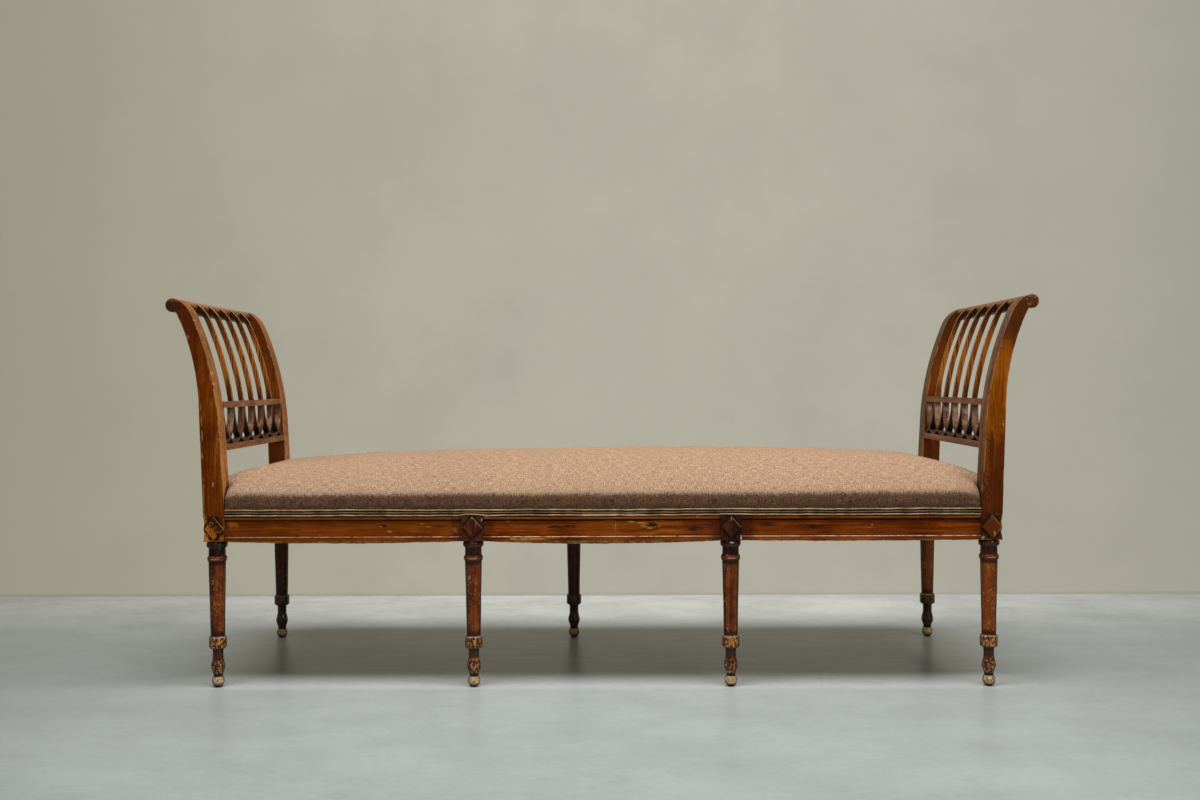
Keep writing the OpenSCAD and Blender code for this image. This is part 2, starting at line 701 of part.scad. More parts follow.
// Keeps soft pieces clear of the four posts
module post_clearance() {
    for (sx = [0, 1]) mirror([sx, 0, 0])
        for (sy = [0, 1]) mirror([0, sy, 0])
            translate([post_in_x - soft_gap, post_in_y - soft_gap, 0])
                cube([block_w + rail_h, block_d + rail_h, rail_top + crown_h]);
}

module hessian() {
    color(jute_colour) difference() {
        translate([-strap_x, -strap_y, hessian_z]) cube([2 * strap_x, 2 * strap_y, hessian_t]);
        post_clearance();
    }
}

// Upholstery

// Section of the crowned seat: half width a, upright side up to side_z, crown at top_z
function crown_section(a, low_z, side_z, top_z, flat, steep) = concat(
    [[-a, low_z]],
    [for (i = [-crown_steps:crown_steps]) let (x = sin(90 * i / crown_steps))
        [a * x, side_z + (top_z - side_z) * pow(max(0, 1 - pow(abs(x), flat)), 1 / steep)]],
    [[a, low_z]]
);

// Crowned body inset by g from the outside of the cover
module crowned(low_z, g) {
    half_x = rebate_x + cover_t - g;
    half_y = rebate_y + cover_t - g;
    side_z = rail_top + side_h - g;
    top_z = rail_top + crown_h - g;
    intersection() {
        bar_y(crown_section(half_x, low_z, side_z, top_z, crown_flat_x, crown_steep_x), -half_y, half_y);
        rotate([0, 0, 90])
            bar_y(crown_section(half_y, low_z, side_z, top_z, crown_flat_y, crown_steep_y), -half_x, half_x);
    }
}

module seat_pad() {
    color(pad_colour) difference() {
        crowned(stuffing_z, cover_t + soft_gap);
        post_clearance();
    }
}

// Cover cloth over the stuffing and down into the rebate of the rails
module seat_cover() {
    color(cloth_colour) difference() {
        crowned(show_top, 0);
        crowned(show_top - cut_over, cover_t);
        post_clearance();
    }
}

// Three cords side by side, which hide the tacked edge of the cover between the posts
module edging_run(length, face) {
    translate([-length / 2, -face, show_top]) rotate([90, 0, 90]) linear_extrude(length) {
        translate([-cord_r, 0]) square([cord_r, 6 * cord_r]);
        for (i = [1, 3, 5]) translate([-cord_r, i * cord_r]) circle(r = cord_r);
    }
}
module edging() {
    color(edging_colour) {
        for (s = [0, 1]) mirror([0, s, 0]) edging_run(2 * (post_in_x - soft_gap), rebate_y + cover_t);
        for (s = [0, 1]) mirror([s, 0, 0]) rotate([0, 0, 90])
            edging_run(2 * (post_in_y - soft_gap), rebate_x + cover_t);
    }
}

// Assembly
block_edge = block_w / 2;
at_end("left") front_post();  // post_front_left
front_post();  // post_front_right
at_end("left") rear_post();  // post_rear_left
rear_post();  // post_rear_right
front_block(-mid_x);  // block_front_left
front_block(mid_x);  // block_front_right
rear_block();  // block_rear
front_rail(-post_in_x, -mid_x - block_edge);  // rail_front_left
front_rail(-mid_x + block_edge, mid_x - block_edge);  // rail_front_middle
front_rail(mid_x + block_edge, post_in_x);  // rail_front_right
rear_rail(-post_in_x, -rear_leg_offset - block_edge, -mid_x);  // rail_rear_left
rear_rail(-rear_leg_offset + block_edge, post_in_x, mid_x);  // rail_rear_right
at_end("left") end_rail();  // end_rail_left
end_rail();  // end_rail_right
cross_rail(-mid_x);  // cross_rail_left
cross_rail(mid_x);  // cross_rail_right
corner_blocks();
webbing_long();
webbing_cross();
hessian();
seat_pad();
seat_cover();
edging();
for (i = [0:len(LEG_NAMES) - 1]) leg(i);
for (e = ENDS) {
    at_end(e) top_roll();
    at_end(e) mid_rail();
    at_end(e) lower_rail();
    for (i = [1:slat_count]) at_end(e) slat(i);
    for (i = [1:slat_count + 2]) at_end(e) hoop(i - 1);
}
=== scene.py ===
import json
import math
import bpy
import bmesh
from mathutils import Matrix, Vector, noise

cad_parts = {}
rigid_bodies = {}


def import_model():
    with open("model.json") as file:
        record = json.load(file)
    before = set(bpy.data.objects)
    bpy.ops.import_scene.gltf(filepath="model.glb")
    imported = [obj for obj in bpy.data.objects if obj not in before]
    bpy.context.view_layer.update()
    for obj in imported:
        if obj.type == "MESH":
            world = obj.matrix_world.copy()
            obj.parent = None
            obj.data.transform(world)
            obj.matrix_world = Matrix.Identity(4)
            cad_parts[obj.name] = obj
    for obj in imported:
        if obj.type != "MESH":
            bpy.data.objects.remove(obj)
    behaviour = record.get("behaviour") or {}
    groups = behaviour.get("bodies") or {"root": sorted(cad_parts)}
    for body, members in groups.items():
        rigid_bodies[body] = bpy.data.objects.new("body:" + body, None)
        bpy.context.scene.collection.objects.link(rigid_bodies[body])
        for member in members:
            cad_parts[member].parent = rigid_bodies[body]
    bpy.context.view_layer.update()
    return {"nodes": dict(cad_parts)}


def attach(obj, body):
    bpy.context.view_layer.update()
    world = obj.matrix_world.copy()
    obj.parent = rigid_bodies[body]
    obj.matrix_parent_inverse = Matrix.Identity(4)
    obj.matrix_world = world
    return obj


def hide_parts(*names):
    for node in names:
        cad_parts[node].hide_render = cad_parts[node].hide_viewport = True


for stray in list(bpy.data.objects):
    bpy.data.objects.remove(stray)
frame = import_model()
scene = bpy.context.scene
NODES = frame["nodes"]
MM = 0.001


# -------------------- values shared with the source, in metres
POST_X, POST_Y = 0.888, 0.270
BLOCK = 0.048
MID_X = POST_X * 0.3333
REAR_X = -0.082
LEG_H = 0.338
SHOW_TOP = 0.3945
RAIL_TOP = 0.413
POST_IN_X, POST_IN_Y = POST_X - BLOCK / 2, POST_Y - BLOCK / 2
COVER_X, COVER_Y = 0.906, 0.288
SIDE_Z, CROWN_Z = 0.448, 0.536
SOFT_GAP = 0.0003


# -------------------- camera, fitted to 28 measured points of the photograph
IMAGE_W = 1200
FOCAL_PX = 1204.4
CAMERA_AT = Vector((0.0245, -3.0364, 0.7006))
YAW, PITCH, ROLL = math.radians(0.563), math.radians(-0.858), math.radians(-0.245)

ahead = Vector((-math.sin(YAW), math.cos(YAW), 0))
side = Vector((math.cos(YAW), math.sin(YAW), 0))
look = ahead * math.cos(PITCH) + Vector((0, 0, 1)) * math.sin(PITCH)
top = -ahead * math.sin(PITCH) + Vector((0, 0, 1)) * math.cos(PITCH)
right = side * math.cos(ROLL) + top * math.sin(ROLL)
above = -side * math.sin(ROLL) + top * math.cos(ROLL)
turn = Matrix((right, above, -look)).transposed()
camera = bpy.data.objects.new("camera", bpy.data.cameras.new("camera"))
scene.collection.objects.link(camera)
camera.location = CAMERA_AT
camera.rotation_euler = turn.to_euler()
camera.data.sensor_width = 36
camera.data.lens = FOCAL_PX / IMAGE_W * 36
camera.data.clip_start, camera.data.clip_end = 0.05, 60
scene.camera = camera


# -------------------- node material helpers
class Value:
    """An output of a node. Arithmetic with it adds Math nodes to its material."""

    def __init__(self, mat, socket):
        self.mat, self.socket = mat, socket

    def __add__(self, other):
        return self.mat.math("ADD", self, other)

    def __sub__(self, other):
        return self.mat.math("SUBTRACT", self, other)

    def __rsub__(self, other):
        return self.mat.math("SUBTRACT", other, self)

    def __mul__(self, other):
        return self.mat.math("MULTIPLY", self, other)

    def __abs__(self):
        return self.mat.math("ABSOLUTE", self)


def times(colour, factor):
    return tuple(c * factor for c in colour)


def between(a, b):
    return tuple((p + q) / 2 for p, q in zip(a, b))


def along(grain, slow, fast):
    """Scale along x, y and z: slow along the grain, fast across it."""
    return [slow if axis == grain else fast for axis in "xyz"]


class Mat:
    """A material under construction; its colour so far is in colour, and paint() lays more over it."""

    def __init__(self, name):
        self.material = bpy.data.materials.new(name)
        self.material.use_nodes = True
        self.tree = self.material.node_tree
        self.tree.nodes.clear()
        self.out = self.tree.nodes.new("ShaderNodeOutputMaterial")
        self.point = self.get("Object", "TexCoord")
        self.colour = self.dull = self.gloss = self.extra = self.wild_at = None

    def add(self, kind, inputs=None, **props):
        """Adds a node; an input given as an output of another node is linked, any other is set."""
        node = self.tree.nodes.new("ShaderNode" + kind)
        for key, value in props.items():
            setattr(node, key, value)
        for key, value in (inputs or {}).items():
            value = getattr(value, "socket", value)
            if isinstance(value, bpy.types.NodeSocket):
                self.tree.links.new(value, node.inputs[key])
            else:
                node.inputs[key].default_value = value
        return node

    def get(self, output, kind, inputs=None, **props):
        """Adds a node and gives one of its outputs."""
        return Value(self, self.add(kind, inputs, **props).outputs[output])

    def math(self, operation, a, b=0.0, clamp=False):
        return self.get(0, "Math", {0: a, 1: b}, operation=operation, use_clamp=clamp)

    def most(self, a, b):
        return self.math("MAXIMUM", a, b)

    def sine(self, value):
        return self.math("SINE", value)

    def sign(self, value):
        return self.math("SIGN", value)

    def ramp(self, value, low, high, to_low=0.0, to_high=1.0):
        """Goes smoothly from to_low at low to to_high at high."""
        return self.get("Result", "MapRange", {"Value": value, "From Min": low, "From Max": high, "To Min": to_low,
                                               "To Max": to_high}, interpolation_type="SMOOTHSTEP")

    def band(self, value, low, high, soft):
        """1 between low and high, with soft flanks."""
        return self.ramp(value, low - soft, low) * self.ramp(value, high + soft, high)

    def noise(self, vector, scale, detail=3.0, rough=0.55, distortion=0.0):
        return self.get("Fac", "TexNoise", {"Vector": vector, "Scale": scale, "Detail": detail, "Roughness": rough,
                                            "Distortion": distortion})

    def mix(self, factor, a, b):
        full = [(*colour, 1) if isinstance(colour, tuple) else colour for colour in (a, b)]
        return self.get(2, "Mix", {0: factor, 6: full[0], 7: full[1]}, data_type="RGBA", clamp_factor=True)

    def paint(self, amount, colour):
        self.colour = self.mix(amount, self.colour, colour)

    def colours(self, value, *stops):
        """Colour ramp; stops are (place, colour)."""
        node = self.add("ValToRGB", {"Fac": value})
        marks = node.color_ramp.elements
        while len(marks) < len(stops):
            marks.new(0.5)
        for mark, (place, colour) in zip(marks, stops):
            mark.position = place
            mark.color = (*colour, 1)
        return Value(self, node.outputs["Color"])

    def vector(self, operation, a, b, output=0):
        return self.get(output, "VectorMath", {0: a, 1: b}, operation=operation)

    def scaled(self, vector, x, y, z):
        return self.vector("MULTIPLY", vector, (x, y, z))

    def length(self, vector):
        return self.vector("LENGTH", vector, (0, 0, 0), "Value")

    def xyz(self, vector):
        node = self.add("SeparateXYZ", {0: vector})
        return [Value(self, socket) for socket in node.outputs]

    def normal(self):
        return self.get("Normal", "NewGeometry")

    def bump(self, height, strength, distance):
        return self.get(0, "Bump", {"Height": height, "Strength": strength, "Distance": distance})

    def wild(self):
        """Noise that is drawn out along the grain, shared by all spots of the material."""
        self.wild_at = self.wild_at or self.noise(self.scaled(self.point, *self.grain), 1.0, 4.0, 0.75)
        return self.wild_at

    def spot(self, centre, radii, edge=0.20):
        """1 inside a ragged ellipsoid round centre, 0 outside it."""
        shift = self.vector("SUBTRACT", self.point, centre)
        far = self.length(self.scaled(shift, *[1 / r for r in radii]))
        return self.ramp(far + (self.wild() - 0.5) * 6.0, 1 + edge, 1 - edge)

    def finish(self, **inputs):
        shader = self.add("BsdfPrincipled", {key.replace("_", " "): value for key, value in inputs.items()})
        self.show(shader)
        return self.material

    def show(self, shader):
        self.tree.links.new(shader.outputs[0], self.out.inputs["Surface"])


def wood(name, grain, dark, mid, light, wear=(0.50, 0.22, 0.050), worn=0.35, coat=0.16, rough=0.30, spots=(),
         zones=None, fine=1.0, edge=0.35, edge_r=0.0026, gain=1.0, rim=0.0, level=0.18, patchy=0.8):
    """Old varnished wood. grain is the axis that the fibres follow, spots are (centre, radii, colour, strength)."""
    m = Mat(name)
    point = m.point
    fibre_at = m.scaled(point, *along(grain, 1, 30 * fine))
    m.grain = {"x": (75, 300, 380), "y": (300, 75, 380), "z": (330, 330, 130)}[grain]
    bend = m.noise(point, 5.0, 2.0, 0.5)
    bend = m.scaled(m.get(0, "CombineXYZ", {0: bend, 1: bend, 2: bend}), 0.8, 0.8, 0.8)
    bent = m.vector("ADD", fibre_at, bend)
    figure = m.noise(bent, 1.3, 3.0, 0.55, 0.25)
    fibre = m.noise(bent, 7.0, 4.0, 0.62)
    pores = m.noise(fibre_at, 38.0, 2.0, 0.5)
    blotch = m.noise(point, 9.0, 3.0, 0.55)
    mottle = m.noise(point, 70.0, 3.0, 0.6)
    tone = figure * 0.5 + fibre * 0.38 + pores * 0.12 + (blotch - 0.5) * 0.4
    tone = (tone - 0.5) * gain + 0.5
    m.colour = m.colours(tone, (0.38, dark), (0.5, mid), (0.63, light))
    m.paint(m.ramp(pores, 0.58, 0.7, 0.0, 0.55), times(dark, 0.4))
    crumb = m.noise(m.scaled(fibre_at, 7, 7, 7) if grain == "x" else m.scaled(point, 330, 330, 150), 1.0, 3.0, 0.7)
    m.paint(m.ramp(crumb, 0.47, 0.33, 0.0, 0.55), dark)
    m.paint(m.ramp(crumb, 0.53, 0.67, 0.0, 0.45), light)
    if zones:
        zones(m, mottle, tone)
    for centre, radii, spot_colour, strength in spots:
        m.paint(m.spot(centre, radii) * strength, spot_colour)
    # worn arrises, and painted shade in the corners
    rounded = m.get(0, "Bevel", {"Radius": edge_r}, samples=4)
    turn_off = m.vector("DOT_PRODUCT", rounded, m.normal(), "Value")
    hollow = m.get("AO", "AmbientOcclusion", {"Distance": 0.02}, samples=4, only_local=False)
    open_edge = m.ramp(turn_off, 0.985, 0.84) * m.ramp(hollow, 0.55, 0.9)
    chips = m.noise(point, 85.0, 4.0, 0.75)
    patch = m.noise(point, 14.0, 2.0, 0.5)
    amount = chips + (patch - 0.5) * patchy
    if m.extra:
        amount = amount + m.extra
    bare = open_edge * m.ramp(amount, 0.66 - 0.25 * worn, 0.8 - 0.25 * worn)
    m.paint(open_edge * abs(edge), light if edge > 0 else times(dark, 0.4))
    m.paint(bare, wear)
    # painted shade: darker where the wood lies in hollows
    m.paint(m.ramp(hollow, 0.8, 0.2, 0.0, 0.85), times(dark, 0.22))
    # small nicks, and scratches along the fibres
    nick = m.ramp(m.noise(m.scaled(point, *along(grain, 60, 160)), 1.0, 3.0, 0.8), 0.715, 0.745)
    m.paint(nick * (0.25 + 0.5 * worn), wear)
    scratch = m.ramp(m.noise(m.scaled(point, *along(grain, 26, 700)), 1.0, 2.0, 0.6, 0.4), 0.66, 0.74)
    m.paint(scratch * 0.22, light)
    shine = m.ramp(blotch, 0.35, 0.7, rough - 0.06, rough + 0.1) + bare * 0.3
    shine = m.math("ADD", shine, m.ramp(mottle, 0.5, 0.75, 0.0, 0.1), clamp=True)
    bump = m.bump(fibre * 0.3 + pores * -0.25 + blotch * 1.6 + bare * -0.5, 0.5, 0.0006)
    polish = 0.12
    if m.dull:
        shine = m.math("ADD", shine, m.dull * 0.2, clamp=True)
        coat = m.ramp(m.dull, 0.0, 1.0, coat, coat * 0.1)
        level = m.ramp(m.dull, 0.0, 1.0, level, level * 0.35)
    if m.gloss:
        coat = m.ramp(m.gloss, 0.0, 1.0, coat * 0.3, coat)
        polish = m.ramp(m.gloss, 0.0, 1.0, 0.22, 0.07)
    if rim:
        # round pieces turn dark towards their sides, where they mirror the dark sides of the room
        facing = m.get("Facing", "LayerWeight", {"Blend": 0.5})
        m.paint(m.ramp(facing, 0.22, 0.8, 0.0, rim), times(dark, 0.3))
        level = m.ramp(facing, 0.25, 0.8, level, level * 0.12)
    return m.finish(Base_Color=m.colour, Roughness=shine, Normal=bump, Coat_Weight=coat, Coat_Roughness=polish,
                    Specular_IOR_Level=level, Specular_Tint=(1.0, 0.66, 0.36, 1))


def raw_wood(name, grain):
    """Bare sawn softwood, with saw marks across its grain and old stains."""
    m = Mat(name)
    point = m.point
    figure = m.noise(m.scaled(point, *along(grain, 1.5, 40)), 2.2, 5.0, 0.65, 0.4)
    stain = m.noise(point, 9.0, 3.0, 0.6)
    saw = m.noise(m.scaled(point, *along(grain, 420, 12)), 1.0, 2.0)
    m.colour = m.colours(figure, (0.3, (0.3, 0.17, 0.08)), (0.5, (0.5, 0.33, 0.18)), (0.7, (0.63, 0.46, 0.28)))
    m.paint(m.ramp(stain, 0.45, 0.75, 0.0, 0.55), (0.22, 0.14, 0.08))
    m.paint(m.ramp(saw, 0.5, 0.75, 0.0, 0.25), (0.24, 0.15, 0.08))
    bump = m.bump(figure * 0.6 + saw * 0.8, 0.7, 0.0007)
    return m.finish(Base_Color=m.colour, Roughness=m.ramp(stain, 0.3, 0.7, 0.62, 0.85), Normal=bump)


def cloth():
    """Plain weave with slubs, laid out on the piece's own weave map, in metres."""
    m = Mat("cover_cloth")
    at = m.get(0, "UVMap", uv_map="weave")
    point = m.point
    up = m.xyz(m.normal())[2]
    level = m.ramp(up, 0.45, 0.9)

    def yarn(x, y, rough=0.65):
        return m.noise(m.scaled(at, x, y, 1), 1.0, 3.0, rough)

    def by_level(side, top):
        return m.get(0, "Mix", {0: level, 2: side, 3: top})

    blots = by_level(yarn(460, 520, 0.7), yarn(840, 230, 0.7))
    slub_x = by_level(yarn(75, 700), yarn(60, 340))
    slub_y = yarn(720, 60)
    speck = by_level(yarn(640, 700, 0.7), yarn(1000, 280, 0.7))
    hue = by_level(yarn(230, 330), yarn(260, 100))
    broad = m.noise(point, 5.0, 3.0, 0.6)
    u, v, w = m.xyz(at)
    count = 2 * math.pi / 0.0016
    lift = m.sine(u * count) * m.sine(v * count) * 0.5
    tone = blots * 0.42 + slub_x * 0.26 + slub_y * 0.32 + lift * 0.03
    m.colour = m.colours(tone, (0.41, (0.185, 0.1, 0.056)), (0.5, (0.475, 0.292, 0.182)), (0.59, (0.83, 0.59, 0.41)))
    m.paint(m.ramp(hue, 0.54, 0.66, 0.0, 0.5), (0.46, 0.225, 0.14))
    m.paint(m.ramp(hue, 0.46, 0.34, 0.0, 0.45), (0.42, 0.335, 0.205))
    m.paint(m.ramp(speck, 0.55, 0.66, 0.0, 0.6), (0.22, 0.105, 0.055))
    m.paint(m.ramp(speck, 0.45, 0.34, 0.0, 0.4), (0.8, 0.6, 0.43))
    m.paint(m.ramp(broad, 0.45, 0.7, 0.0, 0.14), (0.36, 0.225, 0.135))
    x, y, z = m.xyz(point)
    brink = m.ramp(abs(y), 0.2, 0.27) * level
    tick = yarn(1000, 60, 0.5)
    m.paint(brink * m.ramp(tick, 0.54, 0.62, 0.0, 0.6), (0.22, 0.1, 0.05))
    m.paint(brink * m.ramp(tick, 0.44, 0.34, 0.0, 0.4), (0.86, 0.64, 0.46))
    # painted shade on the firm upright edge, darker towards its bottom
    lower = (z - 0.434) * 1.5
    cloud = (m.noise(m.scaled(point, 24, 24, 60), 1.0, 3.0, 0.6) - 0.5) * 0.16
    knit = tone + (tone - 0.5) * 0.6 + lower + cloud
    shade = m.mix(m.ramp(knit, 0.4, 0.6), (0.017, 0.007, 0.003), (0.19, 0.086, 0.038))
    turned = up + (tone - 0.5) * 1.1
    m.paint(m.ramp(turned, 0.66, 0.22, 0.0, 0.9), shade)
    bump = m.bump(lift + (slub_x + slub_y) * 0.9, 0.5, 0.0004)
    return m.finish(Base_Color=m.colour, Roughness=m.ramp(tone, 0.35, 0.65, 0.95, 0.8), Normal=bump,
                    Specular_IOR_Level=0.12)


def cord_cloth(name, light, dark):
    """Worn cord of twisted yarn, laid out on its own weave map."""
    m = Mat(name)
    at = m.get(0, "UVMap", uv_map="weave")
    u, v, w = m.xyz(at)
    twist = m.sine((u + v) * (2 * math.pi / 0.0022))
    patch = m.noise(m.scaled(at, 30, 260, 1), 1.0, 5.0, 0.75)
    tone = twist * 0.05 + patch
    m.colour = m.colours(tone, (0.38, dark), (0.5, between(light, dark)), (0.6, light))
    # the lowest cord is bleached for a while in the middle of the front
    x, y, z = m.xyz(m.point)
    bleached = m.band(x, -0.04, 0.07, 0.03) * m.ramp(z, 0.401, 0.3995)
    bleached = bleached * m.ramp(y, -0.1, -0.2) * m.ramp(patch, 0.4, 0.52)
    m.paint(bleached * 0.55, (0.84, 0.6, 0.46))
    bump = m.bump(twist, 0.6, 0.0003)
    return m.finish(Base_Color=m.colour, Roughness=m.ramp(patch, 0.3, 0.7, 0.9, 0.7), Normal=bump,
                    Specular_IOR_Level=0.15)


def jute(name, pitch, light, dark):
    """Coarse open weave, its threads pitch apart."""
    m = Mat(name)
    x, y, z = m.xyz(m.point)
    count = 2 * math.pi / pitch
    lift = m.sine(x * count) * m.sine(y * count)
    fibre = m.noise(m.scaled(m.point, 300, 900, 300), 1.0, 3.0, 0.7)
    tone = lift * 0.14 + fibre
    m.colour = m.colours(tone, (0.32, dark), (0.5, between(light, dark)), (0.68, light))
    bump = m.bump(lift + fibre, 0.8, pitch * 0.3)
    return m.finish(Base_Color=m.colour, Roughness=m.ramp(fibre, 0.3, 0.7, 0.95, 0.8), Normal=bump)


# -------------------- materials
AMBER = dict(dark=(0.085, 0.015, 0.002), mid=(0.205, 0.038, 0.002), light=(0.37, 0.095, 0.006))
RUSSET = dict(dark=(0.085, 0.014, 0.002), mid=(0.240, 0.043, 0.003), light=(0.40, 0.090, 0.009))
DARK = dict(dark=(0.024, 0.006, 0.004), mid=(0.070, 0.017, 0.008), light=(0.17, 0.045, 0.019))
AGED = dict(dark=(0.045, 0.011, 0.003), mid=(0.130, 0.036, 0.006), light=(0.33, 0.110, 0.014))
ARCH = dict(dark=(0.035, 0.013, 0.007), mid=(0.095, 0.036, 0.017), light=(0.20, 0.090, 0.045))


def inward(m):
    """A mask, 1 on the faces that look at the middle of the bench, and the place as x, y, z."""
    normal = m.xyz(m.normal())
    place = m.xyz(m.point)
    return m.ramp(normal[0] * m.sign(place[0]) * -1.0, 0.30, 0.70), place


def lozenge(m, across, height, middle, half_w, half_h, face, shaded_ground, line):
    """Tints a carved lozenge: its face, painted shade on the sunk ground round it and under its lower edges, and a
    painted highlight along its upper right edge.
    """
    up = height - middle
    reach = abs(across) * (1 / half_w) + abs(up) * (1 / half_h)
    uneven = (m.wild() - 0.5) * 0.2
    inside = m.ramp(reach + uneven, 0.98, 0.86)
    # painted shade on the sunk ground round the lozenge
    near = m.ramp(reach, 0.94, 1.02) * m.ramp(reach + uneven, 1.55, 1.1)
    near = near * m.ramp(abs(up), half_h * 1.06, half_h * 0.98)
    m.paint(inside * face[1], face[0])
    m.paint(near * shaded_ground[1], shaded_ground[0])
    # painted shadow under the lozenge's lower edges
    shade_below = m.band(reach, 0.9, 1.02, 0.04) * m.ramp(up, half_h * 0.05, -half_h * 0.15)
    m.paint(shade_below * 0.85, (0.012, 0.005, 0.003))
    # painted highlight along the upper right edge
    edge = m.band(reach, 0.955, 1.005, 0.03)
    upper = m.ramp(up, -half_h * 0.2, half_h * 0.25) * m.ramp(across, -half_w * 0.25, half_w * 0.05)
    rest = edge * (upper * 0.88 + 0.06)
    m.paint(rest * m.ramp(m.wild(), 0.35, 0.55, 0.45, 1.0), line)


def post_zones(m, mottle, tone):
    """The faces of a post that look at the seat are worn drier, the left one's with painted light that makes it warmer
    and lighter; the top is darker and the right one has a painted highlight.
    """
    mask, (x, y, z) = inward(m)
    m.dull = mask
    m.extra = m.ramp(z, 0.42, 0.56, -0.1, 0.05) + m.ramp(z, 0.83, 0.86, 0.0, -0.4)
    high = m.ramp(z + mottle * 0.05, 0.72, 0.86)
    m.paint(high * 0.75, (0.105, 0.022, 0.004))
    right_one = m.ramp(x, 0.3, 0.4)
    front = m.ramp(y, 0.05, -0.05)
    low = right_one * front * m.ramp(z, 0.62, 0.48)
    m.paint(low * 0.68, (0.108, 0.021, 0.005))
    left_low = (1.0 - right_one) * m.ramp(z, 0.5, 0.45, 0.0, 0.4)
    m.paint(left_low, m.mix(m.ramp(tone, 0.42, 0.58), (0.075, 0.014, 0.002), (0.19, 0.036, 0.003)))
    cloudy = z + (m.noise(m.point, 26.0, 3.0, 0.65) - 0.5) * 0.14
    # painted highlight down the front of the right post
    painted_post_highlight = m.ramp(cloudy, 0.545, 0.63) * m.ramp(cloudy, 0.85, 0.67)
    painted_post_highlight = painted_post_highlight * right_one * front * m.ramp(tone, 0.33, 0.5, 0.45, 1.0)
    m.paint(painted_post_highlight * 0.95, m.mix(m.ramp(tone, 0.42, 0.6), (0.34, 0.075, 0.003), (0.56, 0.155, 0.005)))
    dusky = right_one * front * m.ramp(cloudy, 0.77, 0.82, 0.0, 0.55)
    m.paint(dusky, (0.09, 0.022, 0.004))
    back = (1.0 - front) * m.ramp(z, 0.64, 0.46, 0.45, 0.8)
    m.paint(back, (0.09, 0.024, 0.005))
    mask = mask * m.ramp(z, 0.39, 0.46)
    blend = tone * 0.6 + mottle * 0.4
    warm = m.colours(blend, (0.38, (0.19, 0.065, 0.018)), (0.5, (0.42, 0.155, 0.048)), (0.62, (0.62, 0.28, 0.105)))
    cool = m.colours(blend, (0.36, (0.07, 0.034, 0.018)), (0.5, (0.143, 0.076, 0.042)),
                     (0.64, (0.26, 0.155, 0.09)))
    warm = m.mix(m.ramp(z, 0.58, 0.72, 0.0, 0.52), warm, (0.185, 0.08, 0.033))
    # the left post's inward face painted warmer and lighter than the right's: painted light over the worn dry colour
    m.paint(mask * 0.9, m.mix(right_one, warm, cool))
    foot = m.ramp(z, 0.425, 0.385)
    foot_colour = m.mix(right_one, (0.125, 0.036, 0.005), (0.095, 0.02, 0.005))
    m.paint(foot * 0.7, foot_colour)
    normal = m.xyz(m.normal())
    faces_front = m.ramp(abs(normal[1]), 0.6, 0.75)
    across = m.get(0, "Mix", {0: faces_front, 2: abs(y) - POST_Y, 3: x - m.sign(x) * POST_X})
    slant = (across + (z - 0.3675) * 0.8) * -6.0
    gilt = m.ramp(m.noise(m.scaled(m.point, 1, 1, 0.6), 330.0, 4.0, 0.8) + slant, 0.525, 0.56)
    worn_face = m.mix(gilt, (0.05, 0.016, 0.005), (0.66, 0.215, 0.022))
    face = m.mix(right_one, worn_face, (0.15, 0.034, 0.008))
    lozenge(m, across, z, 0.3675, 0.0234, 0.028, (face, 0.9), ((0.018, 0.008, 0.004), 0.8), (0.56, 0.38, 0.26))


def block_zones(m, mottle, tone):
    """The whole block is dim, the right one more so, and its lozenge is redder on the left half."""
    x, y, z = m.xyz(m.point)
    across = x - m.sign(x) * MID_X
    dim = m.ramp(x, 0.1, 0.2, 0.18, 0.32)
    m.paint(dim, (0.022, 0.007, 0.004))
    face = m.mix(m.ramp(across + mottle * 0.03, 0.006, 0.02), (0.14, 0.03, 0.01), (0.04, 0.012, 0.006))
    lozenge(m, across, z, 0.369, 0.022, 0.024, (face, 0.65), ((0.018, 0.006, 0.004), 0.8), (0.5, 0.33, 0.23))


def panel_zones(m, mottle, tone):
    """Rails, slats and hoops of the ends are drier towards the seat, the right end's greyer as painted shade; the
    slats carry painted highlights, and the roll a painted highlight on its top, painted shade underneath and dark
    eyes.
    """
    mask, (x, y, z) = inward(m)
    m.dull = mask
    up = m.xyz(m.normal())[2]
    blend = tone * 0.6 + mottle * 0.4
    dry = m.colours(blend, (0.38, (0.13, 0.048, 0.018)), (0.5, (0.31, 0.13, 0.056)), (0.62, (0.5, 0.25, 0.125)))
    # painted shade: the right end's inward faces greyer than the left's
    dry = m.mix(m.ramp(x, -0.1, 0.1, 0.0, 0.5), dry, (0.125, 0.073, 0.045))
    slat = m.ramp(z, 0.655, 0.675)
    streak = m.noise(m.scaled(m.point, 330, 330, 5), 1.0, 2.0, 0.6) * 0.75 + tone * 0.25
    dry = m.mix(slat, dry, m.colours(streak, (0.42, (0.12, 0.04, 0.011)), (0.56, (0.36, 0.15, 0.046))))
    m.paint(mask * 0.8, dry)
    # painted highlights along the slats
    painted_light = slat * m.ramp(z, 0.665, 0.72) * m.ramp(z, 0.85, 0.79)
    flank = slat * m.ramp(mask, 0.6, 0.3)
    m.paint(flank * 0.75, (0.09, 0.025, 0.006))
    painted_light = painted_light * m.ramp(streak, 0.44, 0.54)
    m.paint(painted_light * 0.88, (0.47, 0.15, 0.017))
    roll = m.ramp(z, 0.852, 0.862)
    # painted shade under the roll
    shade_below = roll * m.ramp(up, 0.45, -0.05)
    m.paint(shade_below * 0.9, (0.03, 0.01, 0.005))
    # painted highlight on the top of the roll, lighter on the left end
    crest_highlight = m.mix(m.ramp(x, -0.1, 0.1), (0.36, 0.185, 0.11), (0.2, 0.115, 0.075))
    m.paint(roll * m.ramp(up, 0.4, 0.8) * 0.75, crest_highlight)
    eye = m.ramp(abs(y), 0.286, 0.29)
    eye_colour = m.mix(m.ramp(x, -0.1, 0.1), (0.046, 0.016, 0.009), (0.066, 0.044, 0.036))
    m.paint(eye * 0.9, eye_colour)


